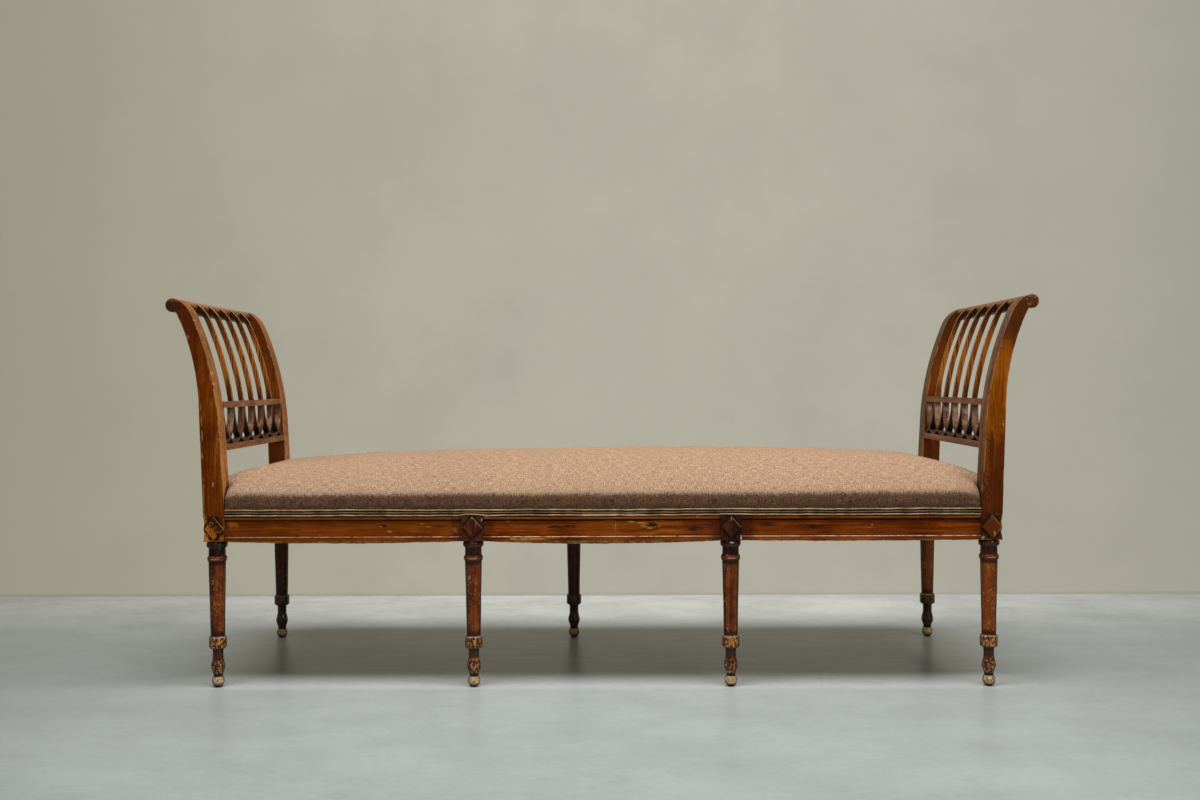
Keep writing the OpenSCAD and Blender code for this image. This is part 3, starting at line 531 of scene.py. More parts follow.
def hoop_zones(m, mottle, tone):
    """The broad sides of the hoops have a painted highlight at mid-height, their rims are dark, and their faces that
    look down have painted shade.
    """
    mask, (x, y, z) = inward(m)
    m.dull = mask
    normal = m.xyz(m.normal())
    broad = m.ramp(abs(normal[1]), 0.35, 0.8)
    shaded_pocket = m.ramp(normal[2], -0.1, -0.35) * m.ramp(abs(normal[1]), 0.25, 0.5)
    # painted highlight on the broad sides at mid-height
    painted_light = broad * m.ramp(z, 0.57, 0.6) * m.ramp(z, 0.656, 0.635)
    m.paint(painted_light * 0.9, m.mix(m.ramp(tone, 0.42, 0.58), (0.15, 0.064, 0.03), (0.48, 0.26, 0.15)))
    # painted shade on the faces that look down
    m.paint(shaded_pocket * 0.92, (0.01, 0.005, 0.003))
    m.paint(mask * 0.88, m.mix(m.ramp(tone, 0.42, 0.58), (0.026, 0.01, 0.005), (0.105, 0.044, 0.021)))


def leg_zones(m, mottle, tone):
    """Red-brown shaft with painted shade down its left side, darker turnings above it, worn turnings below it, a
    rubbed foot, painted highlights on the rings and one bell, and painted shade on the rear legs.
    """
    x, y, z = m.xyz(m.point)
    shaft = m.band(z, 0.121, 0.29, 0.004)
    reddish = m.colours(tone, (0.36, (0.075, 0.014, 0.005)), (0.5, (0.215, 0.042, 0.012)),
                          (0.64, (0.36, 0.095, 0.018)))
    m.paint(shaft * 0.92, reddish)
    columns = m.ramp(abs(x), 0.59, 0.6, MID_X, POST_X)
    off = x - m.sign(x) * columns
    # painted shade down the left side of each shaft
    shady = shaft * m.ramp(off, -0.003, -0.016) * m.ramp(tone, 0.4, 0.56, 0.75, 0.45)
    m.paint(shady, (0.018, 0.007, 0.005))
    first = shaft * m.ramp(x, -0.5, -0.7, 0.0, 0.25)
    m.paint(first, (0.04, 0.01, 0.005))
    uneven = m.noise(m.scaled(m.point, 1, 1, 0.7), 48.0, 4.0, 0.7)
    m.paint(shaft * m.ramp(uneven, 0.5, 0.64, 0.0, 0.65), (0.055, 0.012, 0.006))
    m.paint(shaft * m.ramp(uneven, 0.48, 0.36, 0.0, 0.4), (0.42, 0.105, 0.018))
    m.paint(shaft * m.ramp(x, 0.5, 0.7, 0.0, 0.35), (0.42, 0.1, 0.01))
    fleck = m.ramp(m.noise(m.scaled(m.point, 280, 280, 210), 1.0, 2.0, 0.6), 0.6, 0.63)
    worn_side = m.ramp(m.noise(m.point, 22.0, 2.0), 0.44, 0.56)
    m.paint(fleck * worn_side * 0.9, (0.58, 0.3, 0.085))
    ring = m.band(z, 0.2925, 0.3015, 0.001)
    m.paint(ring * 0.7, (0.2, 0.036, 0.012))
    bell = m.mix(m.ramp(tone, 0.44, 0.6), (0.018, 0.006, 0.004), (0.09, 0.024, 0.01))
    m.paint(m.band(z, 0.306, 0.338, 0.002), bell)
    ends = m.most(m.band(z, 0.1185, 0.124, 0.012), m.band(z, 0.286, 0.2915, 0.006))
    m.paint(ends * 0.8, (0.022, 0.008, 0.005))
    rub = m.noise(m.scaled(m.point, 1, 1, 0.6), 215.0, 4.0, 0.8)
    grit = m.noise(m.point, 420.0, 3.0, 0.7)
    low = m.ramp(z, 0.1185, 0.117)
    m.paint(low * 0.92, (0.07, 0.016, 0.006))
    cuff = m.band(z, 0.0915, 0.1165, 0.001)
    m.paint(cuff * m.ramp(rub, 0.505, 0.53), m.mix(m.ramp(grit, 0.4, 0.6), (0.5, 0.165, 0.03), (0.84, 0.41, 0.11)))
    belly = m.band(z, 0.034, 0.062, 0.01)
    m.paint(belly * m.ramp(rub, 0.535, 0.56), m.mix(m.ramp(grit, 0.4, 0.6), (0.46, 0.15, 0.03), (0.82, 0.42, 0.15)))
    neck = m.band(z, 0.0825, 0.0895, 0.004)
    m.paint(neck * 0.9, (0.014, 0.008, 0.006))
    rim = m.band(z, 0.1158, 0.118, 0.0008) * m.ramp(rub, 0.42, 0.56, 0.3, 1.0)
    m.paint(rim * 0.8, (0.62, 0.42, 0.32))
    foot = rub * 0.5 + grit * 0.5
    foot = m.colours(foot, (0.42, (0.11, 0.05, 0.018)), (0.49, (0.62, 0.4, 0.19)), (0.57, (0.88, 0.7, 0.48)))
    m.paint(m.ramp(z, 0.0275, 0.025, 0.0, 0.95), foot)
    m.paint(m.band(z, 0.025, 0.031, 0.0015), (0.016, 0.01, 0.007))
    m.paint(m.ramp(z, 0.0085, 0.003), (0.04, 0.028, 0.02))
    m.gloss = m.most(m.band(z, 0.32, 0.338, 0.002), m.most(ring, m.band(z, 0.03, 0.118, 0.002)))
    # painted highlights on the foremost points of the ring and of the bell
    foremost = m.ramp(abs(off), 0.012, 0.006) * m.ramp(y, -0.283, -0.286)
    painted_glint = foremost * m.band(z, 0.2965, 0.2985, 0.0008) * m.ramp(rub, 0.38, 0.5)
    m.paint(painted_glint * 0.6, (0.7, 0.38, 0.28))
    foremost = m.ramp(abs(off + -0.001), 0.005, 0.003) * m.ramp(y, -0.283, -0.286)
    third = m.ramp(x, 0.1, 0.2) * m.ramp(x, 0.7, 0.6)
    # painted highlight on the bell of the third leg alone
    painted_glint = foremost * third * m.band(z, 0.332, 0.3338, 0.0008)
    m.paint(painted_glint * 0.75, (0.62, 0.58, 0.57))
    # the rear legs stand in the shade
    rear = m.ramp(x, 0.2, 0.5, 0.78, 0.3)
    rear = m.most(rear, m.band(z, 0.03, 0.112, 0.006))
    rear = rear * m.ramp(z, 0.02, 0.032, 0.55, 1.0) * m.ramp(y, 0.1, 0.2)
    rear = rear * m.ramp(m.band(z, 0.03, 0.112, 0.006), 0.0, 1.0, 1.0, 0.85)
    m.paint(rear, (0.024, 0.01, 0.005))


def rail_zones(m, mottle, tone):
    """Painted shade in the groove, along the frieze and under the edging, a painted sheen along the top strip, and raw
    wood along the rough lower edge.
    """
    x, y, z = m.xyz(m.point)
    shift = (m.noise(m.scaled(m.point, 30, 1, 1), 1.0, 3.0) - 0.5) * 0.0016
    high = z + shift
    # painted shade in the groove, at the frieze's foot and top, and under the edging
    for low, upto, soft, amount in ((0.3835, 0.3870, 0.0010, 0.92), (0.3494, 0.3502, 0.0010, 0.80),
                                    (0.3800, 0.3830, 0.0040, 0.35), (0.3930, 0.3950, 0.0010, 0.60)):
        m.paint(m.band(high, low, upto, soft) * amount, (0.018, 0.006, 0.003))
    along = m.noise(m.scaled(m.point, 14, 1, 1), 1.0, 4.0, 0.7)
    flick = m.noise(m.scaled(m.point, 60, 1, 1), 1.0, 4.0, 0.8)
    line = m.band(z, 0.3471, 0.3484, 0.0005) * m.ramp(flick, 0.36, 0.56, 0.15, 1.0)
    paler = m.mix(m.ramp(x, -0.6, -0.3), (0.58, 0.28, 0.15), (0.76, 0.52, 0.38))
    m.paint(line, paler)
    m.paint(m.ramp(x, -0.32, -0.36, 0.0, 0.2), (0.42, 0.115, 0.01))
    # grime beside the blocks and the posts, a redder stretch and a glowing one
    drawn = x + (along - 0.5) * 0.02
    wide = abs(drawn)
    grime = m.most(m.band(wide, 0.258, 0.336, 0.02) * 0.8, m.ramp(wide, 0.835, 0.862) * 0.45)
    m.paint(grime * m.ramp(mottle, 0.38, 0.62, 1.0, 0.6), (0.05, 0.012, 0.005))
    m.paint(m.band(drawn, 0.215, 0.262, 0.02) * 0.4, (0.13, 0.024, 0.006))
    frieze = m.band(z, 0.3515, 0.38, 0.0025)
    warm = m.band(drawn, 0.1, 0.17, 0.025) * frieze
    m.paint(warm * m.ramp(tone, 0.42, 0.56, 0.1, 0.6), (0.54, 0.135, 0.01))
    # painted sheen along the top strip
    sheen = m.band(z, 0.3893, 0.3922, 0.0012) * m.ramp(along, 0.38, 0.58, 0.15, 0.75)
    m.paint(sheen, m.mix(m.ramp(x, -0.4, -0.25), (0.36, 0.095, 0.014), (0.44, 0.13, 0.022)))
    ragged = (m.noise(m.scaled(m.point, 60, 60, 200), 1.0, 4.0, 0.7) - 0.5) * 0.01
    low = m.ramp(z + ragged, 0.3395, 0.3365)
    m.paint(low * 0.85, m.mix(m.ramp(mottle, 0.4, 0.6), (0.1, 0.06, 0.02), (0.26, 0.18, 0.065)))


def on_plane(y, deep, rows):
    """Spots whose centres lie at y and which reach deep into the wood; rows are (x, z, radii, colour, strength)."""
    return [((x, y, z), (rx, deep, rz), colour, strength) for x, z, rx, rz, colour, strength in rows]


GOLD, PALE, SOOT, GILT = (0.56, 0.27, 0.055), (0.66, 0.48, 0.29), (0.020, 0.012, 0.009), (0.70, 0.235, 0.028)
NICK = (0.64, 0.28, 0.070)
POST_SPOTS = on_plane(-0.294, 0.01, [
    (-0.978, 0.88, 0.019, 0.019, (0.046, 0.016, 0.009), 0.88),
    (0.978, 0.88, 0.0185, 0.0185, (0.112, 0.032, 0.009), 0.75),
    (0.972, 0.8735, 0.0032, 0.0018, (0.56, 0.19, 0.03), 0.8),
    (0.985, 0.889, 0.0022, 0.0026, (0.6, 0.21, 0.03), 0.8),
    (0.966, 0.885, 0.0018, 0.003, (0.5, 0.16, 0.03), 0.7),
    (-0.889, 0.47, 0.0012, 0.005, PALE, 0.9),
]) + on_plane(-0.29, 0.03, [
    # painted highlights along the tops of both scroll faces
    (-0.975, 0.893, 0.015, 0.0042, (0.44, 0.1, 0.022), 0.85),
    (0.975, 0.893, 0.012, 0.0034, (0.4, 0.13, 0.03), 0.7),
    (0.9935, 0.875, 0.0034, 0.012, (0.44, 0.15, 0.035), 0.7),
]) + on_plane(-0.294, 0.02, [
    (-0.906, 0.346, 0.007, 0.009, GILT, 0.9),
    (-0.89, 0.3402, 0.014, 0.0022, GILT, 0.55),
    (-0.871, 0.347, 0.005, 0.005, GILT, 0.5),
    (-0.9085, 0.394, 0.003, 0.007, GILT, 0.85),
    (-0.906, 0.385, 0.002, 0.004, GILT, 0.8),
    (-0.9105, 0.44, 0.002, 0.04, (0.46, 0.19, 0.03), 0.7),
    (-0.9425, 0.8073, 0.0012, 0.0032, NICK, 0.95),
    (-0.9288, 0.846, 0.0022, 0.0022, NICK, 0.9),
    (-0.9053, 0.793, 0.0012, 0.006, NICK, 0.95),
    (-0.9018, 0.778, 0.0012, 0.005, NICK, 0.9),
    (-0.8925, 0.7225, 0.0012, 0.008, NICK, 0.95),
    (-0.8877, 0.6999, 0.0012, 0.0028, NICK, 0.9),
    (-0.9148, 0.647, 0.0012, 0.006, NICK, 0.8),
    (-0.9138, 0.614, 0.0012, 0.009, NICK, 0.75),
    (-0.9126, 0.58, 0.0012, 0.011, NICK, 0.8),
    (-0.9122, 0.536, 0.0012, 0.008, NICK, 0.75),
    (-0.8775, 0.565, 0.0024, 0.026, (0.5, 0.16, 0.01), 0.75),
    (-0.883, 0.525, 0.0016, 0.016, (0.46, 0.14, 0.01), 0.55),
    (0.913, 0.602, 0.0012, 0.006, PALE, 0.8),
    (0.8655, 0.46, 0.0014, 0.01, PALE, 0.8),
    (0.8665, 0.515, 0.0012, 0.005, PALE, 0.7),
    (0.868, 0.343, 0.003, 0.003, PALE, 0.6),
    (0.894, 0.352, 0.003, 0.006, (0.6, 0.24, 0.05), 0.8),
    (0.875, 0.62, 0.007, 0.14, (0.4, 0.14, 0.02), 0.4),
])
RAIL_SPOTS = on_plane(-0.2885, 0.01, [
    (-0.846, 0.3755, 0.009, 0.0055, (0.56, 0.19, 0.014), 0.6),
    (-0.646, 0.353, 0.0035, 0.0016, (0.46, 0.2, 0.05), 0.7),
    (-0.499, 0.3721, 0.008, 0.0026, SOOT, 0.95),
    (-0.506, 0.3721, 0.0034, 0.0008, (0.34, 0.3, 0.28), 0.7),
    (-0.4857, 0.3607, 0.0042, 0.0013, (0.62, 0.24, 0.035), 0.9),
    (-0.411, 0.3778, 0.005, 0.0008, (0.6, 0.24, 0.035), 0.9),
    (-0.395, 0.3706, 0.0046, 0.0008, (0.6, 0.24, 0.035), 0.8),
    (-0.369, 0.3721, 0.015, 0.0016, (0.055, 0.035, 0.028), 0.75),
    (-0.337, 0.3645, 0.005, 0.0034, (0.52, 0.14, 0.025), 0.55),
    (-0.2156, 0.3822, 0.005, 0.0018, (0.46, 0.17, 0.05), 0.6),
    (-0.2156, 0.372, 0.01, 0.0022, (0.06, 0.018, 0.008), 0.5),
    (-0.0914, 0.3702, 0.028, 0.002, (0.034, 0.015, 0.01), 0.92),
    (0.0317, 0.372, 0.001, 0.0056, (0.6, 0.3, 0.06), 0.9),
    (0.069, 0.3808, 0.0075, 0.0009, (0.64, 0.34, 0.07), 0.95),
    (0.088, 0.3785, 0.0085, 0.0009, (0.64, 0.34, 0.07), 0.95),
    (0.1105, 0.3722, 0.013, 0.004, (0.62, 0.29, 0.05), 0.92),
    (0.113, 0.3738, 0.0098, 0.0029, (0.018, 0.01, 0.007), 0.98),
    (0.212, 0.365, 0.014, 0.0036, (0.032, 0.014, 0.009), 0.9),
    (0.3762, 0.3735, 0.011, 0.0024, (0.04, 0.02, 0.014), 0.85),
    (0.49, 0.3712, 0.019, 0.0016, (0.034, 0.014, 0.009), 0.9),
    (0.482, 0.369, 0.006, 0.004, (0.034, 0.014, 0.009), 0.85),
    (0.617, 0.3725, 0.0022, 0.0012, (0.6, 0.33, 0.1), 0.9),
    (0.607, 0.366, 0.007, 0.0012, GOLD, 0.5),
]) + on_plane(-0.2915, 0.01, [
    (-0.163, 0.343, 0.033, 0.0026, (0.58, 0.27, 0.055), 0.9),
    # painted highlight on the top of the left middle block
    (-0.2626, 0.3935, 0.0016, 0.0009, (0.76, 0.68, 0.6), 0.95),
    (0.219, 0.3935, 0.003, 0.0018, (0.56, 0.3, 0.08), 0.9),
])
BLOCK_SPOTS = on_plane(-0.294, 0.01, [
    # painted highlight on the top of the left middle block
    (-0.2968, 0.3915, 0.0022, 0.0013, (0.78, 0.72, 0.66), 0.95),
    (-0.2735, 0.3865, 0.0016, 0.0022, (0.56, 0.42, 0.3), 0.8),
    (-0.287, 0.378, 0.002, 0.007, (0.3, 0.2, 0.14), 0.6),
    (0.3185, 0.346, 0.0016, 0.005, PALE, 0.9),
    (0.296, 0.388, 0.0012, 0.004, (0.44, 0.28, 0.18), 0.7),
]) + on_plane(-0.294, 0.02, [
    (-0.302, 0.359, 0.006, 0.008, (0.22, 0.055, 0.02), 0.5),
])
POST_WOOD = wood("show_wood_post", "z", wear=(0.66, 0.33, 0.100), worn=0.52, coat=0.05, rough=0.28,
                 spots=POST_SPOTS, zones=post_zones, edge=-0.40, edge_r=0.0044, gain=1.25, level=0.08,
                 patchy=2.4, **AMBER)
RAIL_WOOD = wood("show_wood_rail_x", "x", wear=(0.58, 0.28, 0.070), worn=0.45, coat=0.04, rough=0.30,
                 spots=[(centre, (rx * 1.15, ry, rz * 1.35), colour, strength)
                        for centre, (rx, ry, rz), colour, strength in RAIL_SPOTS], zones=rail_zones,
                 gain=1.15, level=0.07, **RUSSET)
END_RAIL_WOOD = wood("show_wood_rail_y", "y", worn=0.50, rough=0.34, **RUSSET)
BLOCK_WOOD = wood("dark_wood_block", "z", wear=(0.26, 0.13, 0.07), worn=0.50, coat=0.14, rough=0.26,
                  spots=BLOCK_SPOTS, zones=block_zones, level=0.08, **DARK)
LEG_WOOD = wood("dark_wood_leg", "z", wear=(0.52, 0.24, 0.07), worn=0.30, coat=0.50, rough=0.24, zones=leg_zones,
                fine=4.0, rim=0.80, level=0.12, **DARK)
SLAT_WOOD = wood("panel_wood_slat", "z", worn=0.40, coat=0.16, rough=0.26, zones=panel_zones, fine=2.0, gain=1.3,
                 edge=0.15, edge_r=0.0015, **AGED)
BAR_WOOD = wood("panel_wood_bar", "y", worn=0.45, coat=0.12, rough=0.32, zones=panel_zones, fine=1.6, gain=1.3, **AGED)
HOOP_WOOD = wood("panel_wood_hoop", "z", wear=(0.46, 0.26, 0.16), worn=0.62, coat=0.20, rough=0.26, zones=hoop_zones,
                 edge=0.45, edge_r=0.0013, fine=2.0, **ARCH)
BARE_X = raw_wood("bare_wood_x", "x")
BARE_Y = raw_wood("bare_wood_y", "y")
COVER = cloth()
# one cord cloth in lit and shaded copies: painted highlights on the outer cords, painted shade on the sunk cords, the
# middle cord between
CORD_LIT = cord_cloth("edging_cord_lit", (0.80, 0.54, 0.30), (0.150, 0.076, 0.033))
CORD_MID = cord_cloth("edging_cord_mid", (0.52, 0.32, 0.165), (0.065, 0.031, 0.014))
CORD_SHADED = cord_cloth("edging_cord_shaded", (0.044, 0.020, 0.009), (0.014, 0.007, 0.004))
WEBBING = jute("jute_webbing", 0.0030, (0.50, 0.39, 0.24), (0.20, 0.14, 0.08))
HESSIAN = jute("jute_hessian", 0.0022, (0.46, 0.34, 0.20), (0.16, 0.11, 0.06))


# -------------------- pieces
def new_piece(name, bm, material, nodes=(), smooth=32):
    """Makes an object from bm, rides it on the frame and lets it stand for the CAD nodes."""
    mesh = bpy.data.meshes.new(name)
    bmesh.ops.recalc_face_normals(bm, faces=bm.faces)
    for face in bm.faces:
        face.smooth = True
    bm.to_mesh(mesh)
    bm.free()
    mesh.set_sharp_from_angle(angle=math.radians(smooth))
    mesh.materials.append(material)
    piece = bpy.data.objects.new(name, mesh)
    scene.collection.objects.link(piece)
    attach(piece, "root")
    if nodes:
        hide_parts(*nodes)
    return piece


def node_copy(node):
    """The node's solid as one clean mesh of flat faces."""
    bm = bmesh.new()
    bm.from_mesh(NODES[node].data)
    bmesh.ops.remove_doubles(bm, verts=bm.verts, dist=2e-6)
    bmesh.ops.dissolve_limit(bm, angle_limit=math.radians(0.6), verts=bm.verts, edges=bm.edges)
    return bm


def waver(x, y, z):
    """Smooth noise between about -1 and 1."""
    return noise.noise(Vector((x, y, z)))


def join(bm, a, b):
    """Faces between two closed rows of corners; a row of one corner makes a fan."""
    faces = []
    for k in range(max(len(a), len(b))):
        j = k + 1
        corners = (a[k % len(a)], a[j % len(a)], b[j % len(b)], b[k % len(b)])
        faces.append(bm.faces.new(list(dict.fromkeys(corners))))
    return faces


def round_edges(bm, width, steps=2, least=24):
    """Bevels the edges whose faces meet at more than least degrees."""
    sharp = [e for e in bm.edges if len(e.link_faces) == 2 and e.calc_face_angle(0) > math.radians(least)]
    bmesh.ops.bevel(bm, geom=sharp, offset=width, segments=steps, profile=0.6, affect="EDGES", clamp_overlap=True)


def slice_along(bm, axis, low, high, step):
    """Cuts the mesh every step along an axis, so that it can be bent there."""
    normal = [0, 0, 0]
    normal[axis] = 1
    place = low + step
    while place < high - step / 2:
        at = [0, 0, 0]
        at[axis] = place
        bmesh.ops.bisect_plane(bm, geom=bm.verts[:] + bm.edges[:] + bm.faces[:], plane_co=at, plane_no=normal)
        place += step


def softened(node, width, material, move=None, cuts=None):
    """Copy of a CAD node with its arrises eased, and with small hand-made unevenness where move is given."""
    bm = node_copy(node)
    round_edges(bm, width)
    if cuts:
        slice_along(bm, *cuts)
    if move:
        for v in bm.verts:
            v.co += move(v.co)
    piece = new_piece(node + "_eased", bm, material, [node])
    normals = piece.modifiers.new("normals", "WEIGHTED_NORMAL")
    normals.keep_sharp = True
    return piece


def drift(p, seed, per_metre, size):
    """Smooth unevenness of that size at the point p, with about per_metre waves in a metre."""
    return waver(p.x * per_metre + seed, p.y * per_metre, p.z * per_metre) * size


BAYS = ((-POST_IN_X, -MID_X - BLOCK / 2, 0.0045, 0.52), (-MID_X + BLOCK / 2, MID_X - BLOCK / 2, 0.0065, 0.44),
        (MID_X + BLOCK / 2, POST_IN_X, 0.0016, 0.5))


def rail_move(p):
    """Ragged lower edge that hangs down a little between the blocks."""
    out = Vector((0, 0, 0))
    if p.z < LEG_H + 0.006:
        for a, b, drop, peak in BAYS:
            if a < p.x < b:
                share = (p.x - a) / (b - a)
                share = 0.5 * share / peak if share < peak else 1 - 0.5 * (1 - share) / (1 - peak)
                bow = math.sin(math.pi * share) ** 0.75
                ragged = drift(p, 8.7, 75, 0.0008) + drift(p, 2.2, 260, 0.0007)
                out.z -= bow * (drop + drift(p, 3.1, 11, 0.0009)) + min(1, bow * 3) * ragged
    return out


for end in ("left", "right"):
    for place in ("front", "rear"):
        softened(f"post_{place}_{end}", 0.0011, POST_WOOD)
    softened(f"end_rail_{end}", 0.0007, END_RAIL_WOOD)
    softened(f"cross_rail_{end}", 0.0010, BARE_Y)
    for bar in ("top_roll", "mid_rail", "lower_rail"):
        softened(f"{bar}_{end}", 0.0009, BAR_WOOD)
    for i in range(1, 6):
        softened(f"slat_{end}_{i}", 0.0009, SLAT_WOOD)
    for i in range(1, 8):
        softened(f"hoop_{end}_{i}", 0.0006, HOOP_WOOD)
for name in ("block_front_left", "block_front_right", "block_rear"):
    softened(name, 0.0008, BLOCK_WOOD)
for name, low, high in (("rail_front_left", -0.864, -0.32), ("rail_front_middle", -0.272, 0.272),
                        ("rail_front_right", 0.32, 0.864)):
    softened(name, 0.0006, RAIL_WOOD, rail_move, (0, low, high, 0.004))
for name in ("rail_rear_left", "rail_rear_right"):
    softened(name, 0.0009, RAIL_WOOD)
softened("corner_blocks", 0.0010, BARE_X)


# -------------------- turned legs
def ease(r0, z0, r1, z1, steps=10):
    """A stretch of an outline that leaves one radius and reaches the next without a corner."""
    return [(r0 + (r1 - r0) * (1 - math.cos(math.pi * i / steps)) / 2, z0 + (z1 - z0) * i / steps)
            for i in range(steps + 1)]


def round_out(core, r, z0, z1, steps=12):
    """A half-round bead between two heights, from the radius core out to r."""
    return [(core + (r - core) * math.cos(math.pi * (i / steps - 0.5)),
             (z0 + z1) / 2 + (z1 - z0) / 2 * math.sin(math.pi * (i / steps - 0.5))) for i in range(steps + 1)]


def leg_outline():
    """Outline of a leg, (radius, height) in millimetres, as in the source, with eased steps."""
    foot = []
    a0, a1 = -math.acos(0.42), math.acos(0.70)
    for i in range(15):
        a = a0 + (a1 - a0) * i / 14
        foot.append((14.5 * math.cos(a), 25 * (math.sin(a) - math.sin(a0)) / (math.sin(a1) - math.sin(a0))))
    shaft = [(15.9 + (19.45 - 15.9) * i / 24, 119.2 + 171.2 * i / 24) for i in range(25)]
    return ([(0, 0.0)] + foot + ease(10.3, 25.6, 15.75, 48.0) + ease(15.75, 48.0, 11.9, 71.0)
            + [(11.8, 82.0), (12.25, 84.0), (12.25, 89.4), (12.9, 90.2)]
            + ease(17.6, 90.2, 20, 93.9) + ease(20, 114.1, 18.2, 117.6)
            + [(16.4, 118.2), (15.9, 119.2)] + shaft
            + round_out(19.5, 22.25, 291, 303) + [(19.2, 303.6), (19, 305), (19, 320.2)]
            + [(18.6, 321.8)] + round_out(19.6, 23.9, 322.4, 337.0) + [(20.6, 337.9), (0, 337.9)])


def turned_leg(name, x, y, seed):
    """A leg turned from the outline, a few tenths of a millimetre out of round."""
    bm = bmesh.new()
    around = 72
    rings = []
    for r, z in leg_outline():
        if r == 0:
            rings.append([bm.verts.new((x, y, z * MM))])
            continue
        ring = []
        for k in range(around):
            a = 2 * math.pi * k / around
            p = Vector((x + math.cos(a) * r * MM, y + math.sin(a) * r * MM, z * MM))
            wobble = drift(p, seed, 24, 0.00035) + drift(p, seed + 5, 160, 0.00010)
            # the foot stays flat on the floor
            grow = 1 + min(1.0, z / 3.0) * wobble / (r * MM)
            ring.append(bm.verts.new((x + math.cos(a) * r * MM * grow, y + math.sin(a) * r * MM * grow, z * MM)))
        rings.append(ring)
    for low, high in zip(rings, rings[1:]):
        join(bm, low, high)
    return new_piece(name + "_turned", bm, LEG_WOOD, [name], smooth=38)


for i, x in enumerate((-POST_X, -MID_X, MID_X, POST_X)):
    turned_leg(f"leg_front_{i + 1}", x, -POST_Y, 11 + 3 * i)
for i, x in enumerate((-POST_X, REAR_X, POST_X)):
    turned_leg(f"leg_rear_{i + 1}", x, POST_Y, 31 + 3 * i)


# -------------------- webbing and hessian under the seat
def ribbon(bm, points, across, thick, width):
    """Flat strap through the points; across is the unit vector of its width."""
    rows = []
    for p in points:
        rows.append([bm.verts.new(p + across * width / 2 * s + Vector((0, 0, thick / 2 * t)))
                     for s, t in ((-1, -1), (1, -1), (1, 1), (-1, 1))])
    for a, b in zip(rows, rows[1:]):
        join(bm, a, b)
    bm.faces.new(rows[0][::-1])
    bm.faces.new(rows[-1])


STRAP, STRAP_T = 0.075, 0.0016
strap_x, strap_y = COVER_X - 0.007, COVER_Y - 0.007
room_y = 2 * (POST_IN_Y - 0.005) - STRAP
room_x = 2 * (POST_IN_X - 0.005) - STRAP
long_at = [-room_y / 2 + i * room_y / 3 for i in range(4)]
cross_at = [-room_x / 2 + i * room_x / 13 for i in range(14)]


def woven(along_x):
    """Straps of one direction, passing over and under the others."""
    bm = bmesh.new()
    own, other = (long_at, cross_at) if along_x else (cross_at, long_at)
    reach = strap_x if along_x else strap_y
    for i, place in enumerate(own):
        points = []
        steps = 240 if along_x else 90
        for k in range(steps + 1):
            t = -reach + 2 * reach * k / steps
            near = min(range(len(other)), key=lambda j: abs(other[j] - t))
            sign = (1 if (i + near) % 2 else -1) * (1 if along_x else -1)
            gap = abs(other[near] - t)
            nxt = sorted(range(len(other)), key=lambda j: abs(other[j] - t))[1]
            span = abs(other[near] - other[nxt])
            hold = STRAP / 2 + 0.002
            if gap <= hold or span - 2 * hold < 1e-4:
                level = sign
            else:
                level = sign * math.cos(math.pi * min(1.0, (gap - hold) / (span - 2 * hold)))
            if abs(t) > reach - 0.016:
                level = -1 if along_x else 1
            z = RAIL_TOP + STRAP_T + level * STRAP_T / 2
            points.append(Vector((t, place, z)) if along_x else Vector((place, t, z)))
        ribbon(bm, points, Vector((0, 1, 0)) if along_x else Vector((1, 0, 0)), STRAP_T * 0.96, STRAP)
    return bm


new_piece("webbing_along", woven(True), WEBBING, ["webbing_long"])
new_piece("webbing_over", woven(False), WEBBING, ["webbing_cross"])


def plan_lines(half, notch, step, fine):
    """Places of grid lines from -half to half, closer together by the edges and the notches."""
    places = {0.0, half, notch}
    for off in fine:
        places.add(half - off)
        places.add(notch - off)
        if notch + off < half:
            places.add(notch + off)
    places = sorted(p for p in places if p >= 0)
    full = [places[0]]
    for p in places[1:]:
        gap = p - full[-1]
        if gap < 0.0008 and p != half and p != notch:
            continue
        n = max(1, round(gap / step))
        start = full[-1]
        full += [start + gap * (k + 1) / n for k in range(n)]
    return [-p for p in full[:0:-1]] + full


SOFT_X, SOFT_Y = POST_IN_X - SOFT_GAP, POST_IN_Y - SOFT_GAP


def plus_grid(bm, xs, ys, height):
    """Corners over the grid lines, at height(x, y), without those inside the posts."""
    return {(i, j): bm.verts.new((x, y, height(x, y))) for i, x in enumerate(xs) for j, y in enumerate(ys)
            if abs(x) <= SOFT_X + 1e-6 or abs(y) <= SOFT_Y + 1e-6}


def cells(xs, ys):
    """Corner keys of each cell of a plus-shaped grid."""
    for i in range(len(xs) - 1):
        for j in range(len(ys) - 1):
            if abs((xs[i] + xs[i + 1]) / 2) <= SOFT_X or abs((ys[j] + ys[j + 1]) / 2) <= SOFT_Y:
                yield [(i, j), (i + 1, j), (i + 1, j + 1), (i, j + 1)]


def outer_edges(xs, ys):
    """Edges of the cells that only one cell has."""
    edges = [(a, b) for corners in cells(xs, ys) for a, b in zip(corners, corners[1:] + corners[:1])]
    both = set(edges)
    return [(a, b) for a, b in edges if (b, a) not in both]


def hessian_sheet():
    bm = bmesh.new()
    hx, hy = strap_x, strap_y
    xs, ys = plan_lines(hx, SOFT_X, 0.02, ()), plan_lines(hy, SOFT_Y, 0.02, ())
    low, high = [plus_grid(bm, xs, ys, lambda x, y: RAIL_TOP + 2 * STRAP_T + rise) for rise in (0.0001, 0.0009)]
    for corners in cells(xs, ys):
        bm.faces.new([low[c] for c in corners[::-1]])
        bm.faces.new([high[c] for c in corners])
    for a, b in outer_edges(xs, ys):
        bm.faces.new((low[a], low[b], high[b], high[a]))
    piece = new_piece("hessian_cloth", bm, HESSIAN, ["hessian"])
    4 * (hx * hy - (hx - SOFT_X) * (hy - SOFT_Y))


hessian_sheet()


